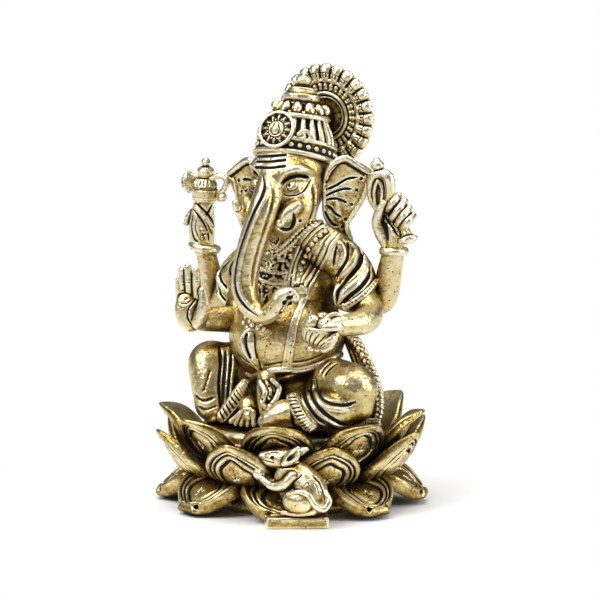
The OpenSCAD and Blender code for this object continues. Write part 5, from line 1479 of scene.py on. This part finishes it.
def ear_spot(s, u, v, lift=0.0):
    """Where a point of the three-quarter plane falls on the sheet of the left (s=1) or right (s=-1) ear."""
    sa, ca = math.sin(QUARTER), math.cos(QUARTER)
    c0, c1 = EAR_FACE
    x = (u - (c0 + lift) * sa) / (ca + s * c1 * sa)
    return spot(u, v, c0 + lift + c1 * s * x)


def make_ears():
    """Both ears."""
    left = [(7.4, 70.0), (7.5, 73.0), (8.5, 75.6), (10.3, 77.5), (12.3, 78.1), (14.4, 76.9), (17.6, 74.8),
            (17.0, 71.7), (15.9, 68.7), (14.3, 66.0), (12.6, 63.4), (12.6, 61.4), (13.3, 59.2),
            (11.6, 60.2), (9.6, 62.0), (7.6, 65.2)]
    right = [(-8.6, 70.4), (-8.6, 74.0), (-9.1, 77.4), (-10.4, 77.9), (-12.2, 76.7), (-14.6, 74.8),
             (-13.2, 73.2), (-12.6, 70.0), (-12.3, 67.4), (-12.0, 65.0), (-11.2, 62.6), (-10.2, 62.4),
             (-9.2, 65.0)]
    veins = [[(7.8, 71.0), (10.1, 72.0), (12.5, 73.4), (15.0, 73.8)],
             [(7.7, 69.6), (9.6, 70.5), (11.9, 71.2), (13.7, 71.1)],
             [(7.7, 68.7), (9.6, 69.0), (11.4, 68.6), (12.5, 68.0)], [(7.7, 67.6), (9.0, 66.7), (9.9, 65.6),
                                                                      (11.4, 64.7)],
             [(7.4, 66.3), (8.3, 64.5), (9.3, 63.2), (10.6, 62.8)]]
    dots = [(15.8, 73.5), (14.7, 70.9), (13.6, 67.6), (12.2, 64.3), (11.5, 62.5)]
    veins_r = [[(-8.4, 72.4), (-9.8, 73.5), (-11.4, 73.6)], [(-8.4, 70.4), (-9.6, 71.1), (-10.9, 70.9)],
               [(-8.6, 67.4), (-9.4, 68.3), (-10.4, 68.0)]]
    dots_r = [(-12.3, 73.4), (-11.6, 70.8), (-11.0, 67.6)]
    for s, name, outline, lines, holes in ((1, "left_ear", left, veins, dots),
                                           (-1, "right_ear", right, veins_r, dots_r)):
        rim = curve(outline + outline[:1], 110)
        rim3 = np.array([ear_spot(s, u, v) for u, v in rim])
        clay = clay_round(rim3, 2.6, 0.12)
        root = ear_spot(s, *((10.2, 69.8) if s > 0 else (-10.3, 71.0)), lift=0.7)
        low = ear_spot(s, *((11.0, 64.6) if s > 0 else (-10.7, 66.0)), lift=0.7)
        # the leaf: overlapping bars fanned out from two middles
        for k in range(len(rim3) - 1):
            a = rim3[k] + (0, 0.35, 0)
            near = (rim3[k] + rim3[k + 1]) / 2 + (0, 0.35, 0)
            clay.add([rod(a, b, 0.62) for a, b in ((a, root), (near, root), (a, low), (near, low))
                      if abs(a[2] - b[2]) < 9.5], 0.1)
        clay.add(rod(root, low, 1.0), 0.4)
        clay.add(wire(rim3, 0.52), 0.15)
        top = [p for p in outline if p[1] > 72.9] if s > 0 else outline[1:6]
        fold = curve(top, 50)
        fold = np.array([ear_spot(s, u, v, -0.45) for u, v in fold])
        thick = 0.78 - 0.35 * np.linspace(-1, 1, len(fold)) ** 4
        clay.add(wire(fold, thick), 0.15)
        inner = np.array([ear_spot(s, u + (10.6 * s - u) * 0.16, v + (71.5 - v) * 0.16, -0.2)
                          for u, v in curve(top, 50)])
        clay.cut(wire(clay.lay(inner, (0, 1, 0)) + (0, -0.05, 0), 0.26), 0.05)
        for line in lines:
            clay.engrave(line, 0.6, 0.5, 30, 0.06)
        clay.dots(quarter(holes), INTO, 0.4)
        for line in lines[::2]:
            clay.groove(np.array([ear_spot(s, u, v) for u, v in line]), (0, -1, 0), 0.7, 0.3, 30, 0.2)
        cast(name + "_casting", clay, [name], gold())


# ---------------------------------------------------------------- crown and halo

LEAN = turn(-13, 0, 0)
CROWN = neck(0, 2.4, 16.3)


def crown(r, t, h):
    """A point of the crown: radius, angle in radians from the front towards its left, height."""
    return CROWN + LEAN @ np.array([r * math.sin(t), -r * math.cos(t), h])


def dip(t):
    """How far the crown's lower rim rises at the front and sinks at the back."""
    return (1.2 if math.cos(t) > 0 else 0.8) * math.cos(t) + 0.35


def make_crown():
    """The crown."""
    clay = Clay(CROWN + (-11, -12.5, -4.5), CROWN + (11, 11, 9.5), 0.12)
    a = np.linspace(-math.pi, math.pi, 161)
    for h, r, t in ((0.55, 9.3, 0.62), (3.9, 8.9, 0.5)):
        clay.add(wire([crown(r, t_, h + dip(t_) * (1 if h < 2 else 0.8)) for t_ in a], t), 0.08)
    for h in (1.5, 2.3, 3.1):
        clay.add(wire([crown(8.1, t_, h + dip(t_) * 0.9) for t_ in a], 1.0), 0.2)
    for k in range(28):
        t = 2 * math.pi * (k + 0.5) / 28
        clay.add(ball(crown(8.95, t, 2.25 + dip(t) * 0.9), 0.66), 0.03)
    cast("crown_band_casting", clay, ["crown_band"], gold())
    # ribbed dome
    clay = Clay(CROWN + (-9.5, -10, -2), CROWN + (9.5, 11, 12.5), 0.13)
    clay.add(lathe(CROWN, LEAN, [(0.5, 7.6), (3.5, 7.7), (6.5, 7.0), (8.6, 6.2), (10.2, 5.6)]))
    for k in range(20):
        t = 2 * math.pi * k / 20
        rib = [(8.0, 3.2), (7.9, 5.0), (7.3, 7.0), (6.6, 8.6), (6.0, 10.0)]
        clay.add(limb([crown(r, t, h) for r, h in rib], [0.7, 0.8, 0.74, 0.62, 0.5], 12), 0.06)
        t += math.pi / 20
        clay.cut(limb([crown(r + 0.2, t, h) for r, h in rib[:4]] + [crown(6.3, t, 9.6)],
                      [0.3, 0.36, 0.34, 0.3, 0.26], 12), 0.05)
    cast("crown_dome_casting", clay, ["crown_dome"], gold())
    # smooth tier, leaves with two knobs, milled disc and bud
    clay = Clay(CROWN + (-7.5, -6, 7.5), CROWN + (7.5, 11, 21.5), 0.11)
    clay.add(lathe(CROWN, LEAN, [(9.0, 5.4), (9.8, 6.2), (10.6, 6.2), (11.2, 5.4), (11.9, 4.9), (12.8, 4.3),
                                 (13.8, 3.9), (14.2, 4.1), (14.6, 4.3), (15.5, 4.3), (15.8, 3.7),
                                 (16.3, 3.5), (17.1, 3.3), (17.3, 2.2), (17.6, 1.5), (18.0, 1.7),
                                 (18.8, 2.0), (19.6, 1.7), (20.1, 0.9), (20.3, 0.3)]))
    clay.add(ring(crown(0, 0, 10.4), LEAN, 6.4, 0.8, 0.75), 0.3)
    for k in range(36):
        t = 2 * math.pi * k / 36
        clay.cut(rod(crown(4.5, t, 14.5), crown(4.5, t, 15.6), 0.24), 0.03)
    for k in range(10):
        t = 2 * math.pi * (k + 0.5) / 10
        clay.add(limb([crown(5.5, t, 10.9), crown(4.6, t, 12.1), crown(3.9, t, 13.6)], [0.5, 1.25, 0.35],
                      8), 0.08)
        t += math.pi / 10
        clay.cut(limb([crown(5.0, t, 10.9), crown(4.0, t, 13.0)], [0.3, 0.3], 5), 0.1)
    for t in (-1.1, 2.0):
        clay.add(ball(crown(5.5, t, 12.4), 1.35), 0.15)
    clay.cut(ring(crown(0, 0, 15.85), LEAN, 3.95, 0.2), 0.03)
    clay.cut(ring(crown(0, 0, 16.7), LEAN, 3.45, 0.16), 0.03)
    cast("crown_top_casting", clay, ["crown_top"], gold())
    # front medallion
    m = LEAN @ turn(90 - 14, 0, 0)
    c = crown(9.5, -0.06, 6.7)
    clay = Clay(c - 6.5, c + 6.5, 0.09)

    def disc(r, t, up=0.0):
        return c + m @ np.array([r * math.sin(t), r * math.cos(t), up])

    clay.add(lathe(c, m, [(-1.9, 3.8), (-0.6, 4.3), (-0.1, 4.3), (0.05, 4.1)]))
    clay.add(ring(disc(0, 0, 0.1), m, 4.1, 0.4), 0.04)
    for k in range(12):
        t = 2 * math.pi * k / 12
        gap = t + math.pi / 12
        clay.cut(limb([disc(3.35, gap, 0.15), disc(2.75, gap, 0.2)], [0.52, 0.16], 5), 0.03)
        clay.add(limb([disc(2.5, t, 0.2), disc(3.35, t, 0.1)], [0.36, 0.16], 4), 0.04)
    clay.cut(ring(disc(0, 0, 0.3), m, 2.3, 0.2), 0.04)
    for k in range(20):
        clay.add(ball(disc(2.28, 2 * math.pi * k / 20, 0.1), 0.24), 0.02)
    clay.add(lathe(disc(0, 0, 0), m, [(0, 1.9), (0.35, 1.85), (0.5, 1.6)]), 0.05)
    clay.cut(ring(disc(0, 0, 0.5), m, 1.55, 0.14), 0.03)
    clay.add(egg(disc(0.3, math.pi, 0.5), (0.95, 1.1, 0.75), m), 0.08)
    clay.add(egg(disc(0.7, 0, 0.5), (0.45, 0.85, 0.5), m), 0.3)
    for s in (-1, 1):
        turns = ((0.50, 5.6), (0.60, 6.5), (0.74, 6.3), (0.80, 5.2), (0.72, 4.2), (0.62, 4.5), (0.66, 5.3))
        clay.add(limb([crown(9.3, s * t, h + 0.4) for t, h in turns], [0.5, 0.48, 0.46, 0.44, 0.38, 0.34,
                                                                       0.34], 34), 0.03)
    cast("crown_medallion_casting", clay, ["crown_medallion"], gold())


def make_halo():
    """The halo."""
    lo, hi = box_mm("halo_plate")
    c = np.array([2.3, 13.6, (lo[2] + hi[2]) / 2])
    m = turn(90, 0, 0)          # the plate's own Z looks forward
    thick = 1.7
    clay = Clay(c - (10, 8, 10), c + (10, 1, 10), 0.12)
    clay.add(lathe(c, m, [(0.0, 8.5), (0.4, 8.9), (thick - 0.6, 8.9), (thick - 0.5, 8.7)]))
    face = c + (0, -thick, 0)
    clay.add(ring(face + (0, 0.35, 0), m, 8.3, 0.5), 0.08)
    clay.cut(ring(face + (0, 0.25, 0), m, 6.75, 1.1, 0.6), 0.05)
    for k in range(32):
        t = 2 * math.pi * k / 32
        d = np.array([math.sin(t), 0, math.cos(t)])
        clay.add([ball(face + d * 7.25 + (0, 0.25, 0), 0.52), ball(face + d * 6.45 + (0, 0.35, 0), 0.45)],
                 0.03)
        clay.add(limb([face + d * 7.2 + (0, 0.5, 0), face + d * 6.3 + (0, 0.5, 0)], [0.42, 0.4], 4), 0.03)
    clay.add(ring(face + (0, 0.2, 0), m, 5.35, 0.46), 0.05)
    clay.cut(ring(face + (0, 0.1, 0), m, 4.75, 0.24), 0.05)
    clay.add(ring(face + (0, 0.45, 0), m, 4.35, 0.28), 0.05)
    for k in range(14):
        t = 2 * math.pi * (k + 0.3) / 14
        d = np.array([math.sin(t), 0, math.cos(t)])
        clay.cut(rod(face + d * 3.0 + (0, 0.55, 0), face + d * 4.0 + (0, 0.2, 0), 0.2), 0.05)
    clay.add(limb([c + (-1, -0.6, 0), c + (-2.0, -6.5, -2.5)], [2.6, 2.8]), 0.4)
    clay.cut(ring(c + (0, 0.1, 0), m, 6.8, 0.35), 0.15)
    cast("halo_plate_casting", clay, ["halo_plate"], gold())
    clay = Clay(c - (13, 3.4, 13), c + (13, 0.9, 13), 0.12)
    mid = c + (0, -0.9, 0)
    clay.add(lathe(c, m, [(0.05, 11.3), (0.3, 11.7), (1.0, 11.7), (1.2, 11.4)]))
    for k in range(24):
        t = 2 * math.pi * k / 24
        d = np.array([math.sin(t), 0, math.cos(t)])
        side = np.array([math.cos(t), 0, -math.sin(t)])
        turned = turn(0, math.degrees(t), 0)
        clay.add(limb([mid + d * 8.7 + (0, -0.2, 0), mid + d * 10.4 + (0, -0.2, 0)], [1.14, 1.42], 5), 0.0)
        clay.add(limb([mid + d * 8.9 + (0, -0.35, 0), mid + d * 10.3 + (0, -0.35, 0)], [0.72, 0.85], 4),
                 0.05)
        clay.add(egg(mid + d * 10.95 + (0, -0.25, 0), (1.46, 1.2, 1.1), turned), 0.05)
        clay.add([ball(mid + d * 11.5 + side * e + (0, -0.1, 0), 0.72) for e in (-0.5, 0.5)], 0.12)
        clay.cut(ring(mid + d * 10.15 + (0, -0.2, 0), turned, 1.18, 0.13), 0.04)
        for e in (-0.34, 0.34):
            clay.cut(rod(mid + d * 9.2 + side * e + (0, -1.25, 0),
                         mid + d * 9.9 + side * e * 1.2 + (0, -1.25, 0), 0.13), 0.03)
        u = 2 * math.pi * (k + 0.5) / 24
        d2 = np.array([math.sin(u), 0, math.cos(u)])
        clay.cut(limb([mid + d2 * 8.7 + (0, -0.9, 0), mid + d2 * 12.4 + (0, -0.9, 0)], [0.16, 0.2], 6),
                 0.03)
    clay.cut(block(c + (0, 1.0, 0), (14, 1.0, 14)))
    cast("halo_lobes_casting", clay, ["halo_lobes"], gold())


# ---------------------------------------------------------------- studio

VIEW_WIDTH = 0.13764                            # width of the scene across the middle of the view
AIM = np.array([0, 0, 0.04658]) + RIGHT * 0.00184   # the statuette's middle, a little to its left
LENS, SENSOR = 380, 36                          # a long lens, so that the sides hardly converge
FLOOR_RADIUS = 3.0


def emitter(name, size, power, place, aim):
    """A white softbox at place, pointing at aim."""
    light = bpy.data.lights.new(name, "AREA")
    light.shape = "RECTANGLE"
    light.size, light.size_y = size
    light.energy = power
    ob = bpy.data.objects.new(name, light)
    ob.location = place
    ob.rotation_euler = (Vector(aim) - Vector(place)).to_track_quat("-Z", "Y").to_euler()
    bpy.context.scene.collection.objects.link(ob)
    return ob


def make_studio():
    """The floor, lights and camera."""
    scene = bpy.context.scene
    scene.view_settings.view_transform = "Standard"
    camera = bpy.data.cameras.new("studio_camera")
    camera.lens = LENS
    camera.sensor_width = SENSOR
    ob = bpy.data.objects.new("studio_camera", camera)
    scene.collection.objects.link(ob)
    ob.location = Vector(AIM - INTO * VIEW_WIDTH * LENS / SENSOR)
    ob.rotation_euler = Vector(INTO).to_track_quat("-Z", "Y").to_euler()
    scene.camera = ob
    camera.clip_start, camera.clip_end = 0.05, 30
    # pale paper sweep under and round the statuette: lit matt paper near the middle, painted glowing white
    # (emission) from about 45 to 75 mm out
    mesh = bpy.data.meshes.new("studio_floor")
    r, n = FLOOR_RADIUS, 64
    pts = [(0, 0, 0)] + [(r * math.cos(2 * math.pi * k / n), r * math.sin(2 * math.pi * k / n), 0)
                         for k in range(n)]
    fill_mesh(mesh, pts, (), [(0, k + 1, (k + 1) % n + 1) for k in range(n)])
    floor = bpy.data.objects.new("studio_floor", mesh)
    scene.collection.objects.link(floor)
    paper = bpy.data.materials.new("matt_white_paper_painted_glow")
    paper.use_nodes = True
    t = paper.node_tree
    bsdf = t.nodes["Principled BSDF"]
    bsdf.inputs["Base Color"].default_value = linear("#FFFFFF")
    bsdf.inputs["Roughness"].default_value = 0.9
    bsdf.inputs["Specular IOR Level"].default_value = 0.1
    place = node(t, "ShaderNodeTexCoord").outputs["Object"]
    away = node(t, "ShaderNodeVectorMath", {0: place}, operation="LENGTH").outputs["Value"]
    # painted glow: beyond 45 mm the paper fades into white emission, full at 75 mm, standing in for paper
    # blown out by the light
    painted_glow = node(t, "ShaderNodeMapRange", {"Value": away}, From_Min=0.045, From_Max=0.075,
                interpolation_type="SMOOTHSTEP")
    white = node(t, "ShaderNodeEmission", Color=(1, 1, 1, 1), Strength=1.0)
    mixed = node(t, "ShaderNodeMixShader", {0: painted_glow.outputs["Result"], 1: bsdf.outputs[0],
                                            2: white.outputs[0]})
    t.links.new(mixed.outputs[0], t.nodes["Material Output"].inputs["Surface"])
    mesh.materials.append(paper)
    world = bpy.data.worlds.new("studio_air")
    scene.world = world
    world.use_nodes = True
    t = world.node_tree
    t.nodes.clear()
    seen = node(t, "ShaderNodeLightPath").outputs["Is Camera Ray"]
    white = node(t, "ShaderNodeBackground", Color=(1, 1, 1, 1), Strength=1.0)
    place = node(t, "ShaderNodeTexCoord").outputs["Generated"]
    split = node(t, "ShaderNodeSeparateXYZ", {"Vector": place})
    height = node(t, "ShaderNodeMapRange", {"Value": split.outputs["Z"]}, From_Min=-1.0, From_Max=1.0)
    sky = node(t, "ShaderNodeValToRGB", {"Fac": height.outputs["Result"]}, (
        (0.0, "#FFFFFF"), (0.5, "#8A8A8A"), (0.62, "#3A3A3A"), (0.85, "#C8C8C8")))
    air = node(t, "ShaderNodeBackground", {"Color": sky.outputs["Color"]}, Strength=0.75)
    mix = node(t, "ShaderNodeMixShader", {0: seen, 1: air.outputs[0], 2: white.outputs[0]})
    node(t, "ShaderNodeOutputWorld", {"Surface": mix.outputs[0]})
    middle = (0, 0, 0.05)             # about half way up the statuette
    emitter("key_softbox", (0.30, 0.45), 2.6, tuple(-RIGHT * 0.35 - INTO * 0.30 + OVER * 0.42), middle)
    emitter("fill_softbox", (0.20, 0.40), 1.3, tuple(RIGHT * 0.48 - INTO * 0.18 + OVER * 0.22), middle)
    emitter("top_softbox", (0.5, 0.5), 2.2, (0, 0.05, 0.62), middle)
    return ob


# ---------------------------------------------------------------- the add-on

class StatuetteFinish(bpy.types.PropertyGroup):
    """Colours and wear of the gold finish."""

    bright: bpy.props.StringProperty(name="Bright gold", description="Colour of the rubbed high places",
                                     default="#EFE6CA")
    body: bpy.props.StringProperty(name="Body gold", description="Colour of the open surfaces",
                                   default="#DCC98E")
    warm: bpy.props.StringProperty(name="Warm gold", description="Colour beside the recesses",
                                   default="#A88A45")
    # colour of the patina, and of the painted shade where nearby parts shade the metal
    patina_and_shade: bpy.props.StringProperty(name="Patina", description="Colour of the blackened recesses",
                                     default="#120E08")
    patina_start: bpy.props.FloatProperty(name="Patina start",
                                          description="Depth at which the patina begins, lower is darker",
                                          default=0.25, min=0, max=1)
    polish: bpy.props.FloatProperty(name="Base roughness", description="Roughness of the rubbed places",
                                    default=0.20, min=0.05, max=0.6, subtype="FACTOR")


class STATUETTE_OT_lotus(bpy.types.Operator):
    """Make the double lotus, its seat and its pin"""

    bl_idname = "statuette.lotus"
    bl_label = "Lotus"

    def execute(self, context):
        make_lotus()
        return {"FINISHED"}


class STATUETTE_OT_mouse(bpy.types.Operator):
    """Make the mouse, its sweet and its plinth"""

    bl_idname = "statuette.mouse"
    bl_label = "Mouse"

    def execute(self, context):
        make_mouse()
        return {"FINISHED"}


class STATUETTE_OT_torso(bpy.types.Operator):
    """Make the body"""

    bl_idname = "statuette.torso"
    bl_label = "Torso"

    def execute(self, context):
        make_torso()
        return {"FINISHED"}


class STATUETTE_OT_legs(bpy.types.Operator):
    """Make the crossed legs, feet and hem cuffs"""

    bl_idname = "statuette.legs"
    bl_label = "Legs"

    def execute(self, context):
        make_legs()
        return {"FINISHED"}


class STATUETTE_OT_cloth(bpy.types.Operator):
    """Make the sash, pleats, shawl and braid"""

    bl_idname = "statuette.cloth"
    bl_label = "Cloth"

    def execute(self, context):
        make_cloth()
        return {"FINISHED"}


class STATUETTE_OT_jewellery(bpy.types.Operator):
    """Make the thread, pendant, necklaces and border"""

    bl_idname = "statuette.jewellery"
    bl_label = "Jewellery"

    def execute(self, context):
        make_jewellery()
        return {"FINISHED"}


class STATUETTE_OT_arms(bpy.types.Operator):
    """Make the four arms and their bangles"""

    bl_idname = "statuette.arms"
    bl_label = "Arms"

    def execute(self, context):
        make_arms()
        return {"FINISHED"}


class STATUETTE_OT_hands(bpy.types.Operator):
    """Make the four hands"""

    bl_idname = "statuette.hands"
    bl_label = "Hands"

    def execute(self, context):
        make_hands()
        return {"FINISHED"}


class STATUETTE_OT_held(bpy.types.Operator):
    """Make the goad, the noose and the bowl of sweets"""

    bl_idname = "statuette.held"
    bl_label = "Held things"

    def execute(self, context):
        make_held_things()
        return {"FINISHED"}


class STATUETTE_OT_head(bpy.types.Operator):
    """Make the head"""

    bl_idname = "statuette.head"
    bl_label = "Head"

    def execute(self, context):
        make_head()
        return {"FINISHED"}


class STATUETTE_OT_trunk(bpy.types.Operator):
    """Make the trunk and tusks"""

    bl_idname = "statuette.trunk"
    bl_label = "Trunk"

    def execute(self, context):
        make_trunk()
        return {"FINISHED"}


class STATUETTE_OT_ears(bpy.types.Operator):
    """Make both ears"""

    bl_idname = "statuette.ears"
    bl_label = "Ears"

    def execute(self, context):
        make_ears()
        return {"FINISHED"}


class STATUETTE_OT_crown(bpy.types.Operator):
    """Make the crown"""

    bl_idname = "statuette.crown"
    bl_label = "Crown"

    def execute(self, context):
        make_crown()
        return {"FINISHED"}


class STATUETTE_OT_halo(bpy.types.Operator):
    """Make the halo"""

    bl_idname = "statuette.halo"
    bl_label = "Halo"

    def execute(self, context):
        make_halo()
        return {"FINISHED"}


class STATUETTE_OT_studio(bpy.types.Operator):
    """Make the floor, lights and camera"""

    bl_idname = "statuette.studio"
    bl_label = "Studio"

    def execute(self, context):
        make_studio()
        return {"FINISHED"}


# in the order in which the pieces are made
STEPS = [
    STATUETTE_OT_lotus, STATUETTE_OT_mouse, STATUETTE_OT_torso, STATUETTE_OT_legs,
    STATUETTE_OT_cloth, STATUETTE_OT_jewellery, STATUETTE_OT_arms, STATUETTE_OT_hands,
    STATUETTE_OT_held, STATUETTE_OT_head, STATUETTE_OT_trunk, STATUETTE_OT_ears,
    STATUETTE_OT_crown, STATUETTE_OT_halo, STATUETTE_OT_studio,
]


class STATUETTE_PT_sidebar(bpy.types.Panel):
    """Lists the finish and the steps."""

    bl_label = "Statuette"
    bl_idname = "STATUETTE_PT_sidebar"
    bl_space_type = "VIEW_3D"
    bl_region_type = "UI"
    bl_category = "Statuette"

    def draw(self, context):
        for key in StatuetteFinish.__annotations__:
            self.layout.prop(context.scene.statuette_finish, key)
        for step in STEPS:
            self.layout.operator(step.bl_idname)


CLASSES = [StatuetteFinish, *STEPS, STATUETTE_PT_sidebar]


def register():
    for c in CLASSES:
        bpy.utils.register_class(c)
    bpy.types.Scene.statuette_finish = bpy.props.PointerProperty(type=StatuetteFinish)


def unregister():
    del bpy.types.Scene.statuette_finish
    for c in reversed(CLASSES):
        bpy.utils.unregister_class(c)


def main():
    register()
    for step in STEPS:
        group, key = step.bl_idname.split(".")
        if getattr(getattr(bpy.ops, group), key)() != {"FINISHED"}:
            raise RuntimeError(step.bl_label + " was not finished")


if __name__ == "__main__":
    main()
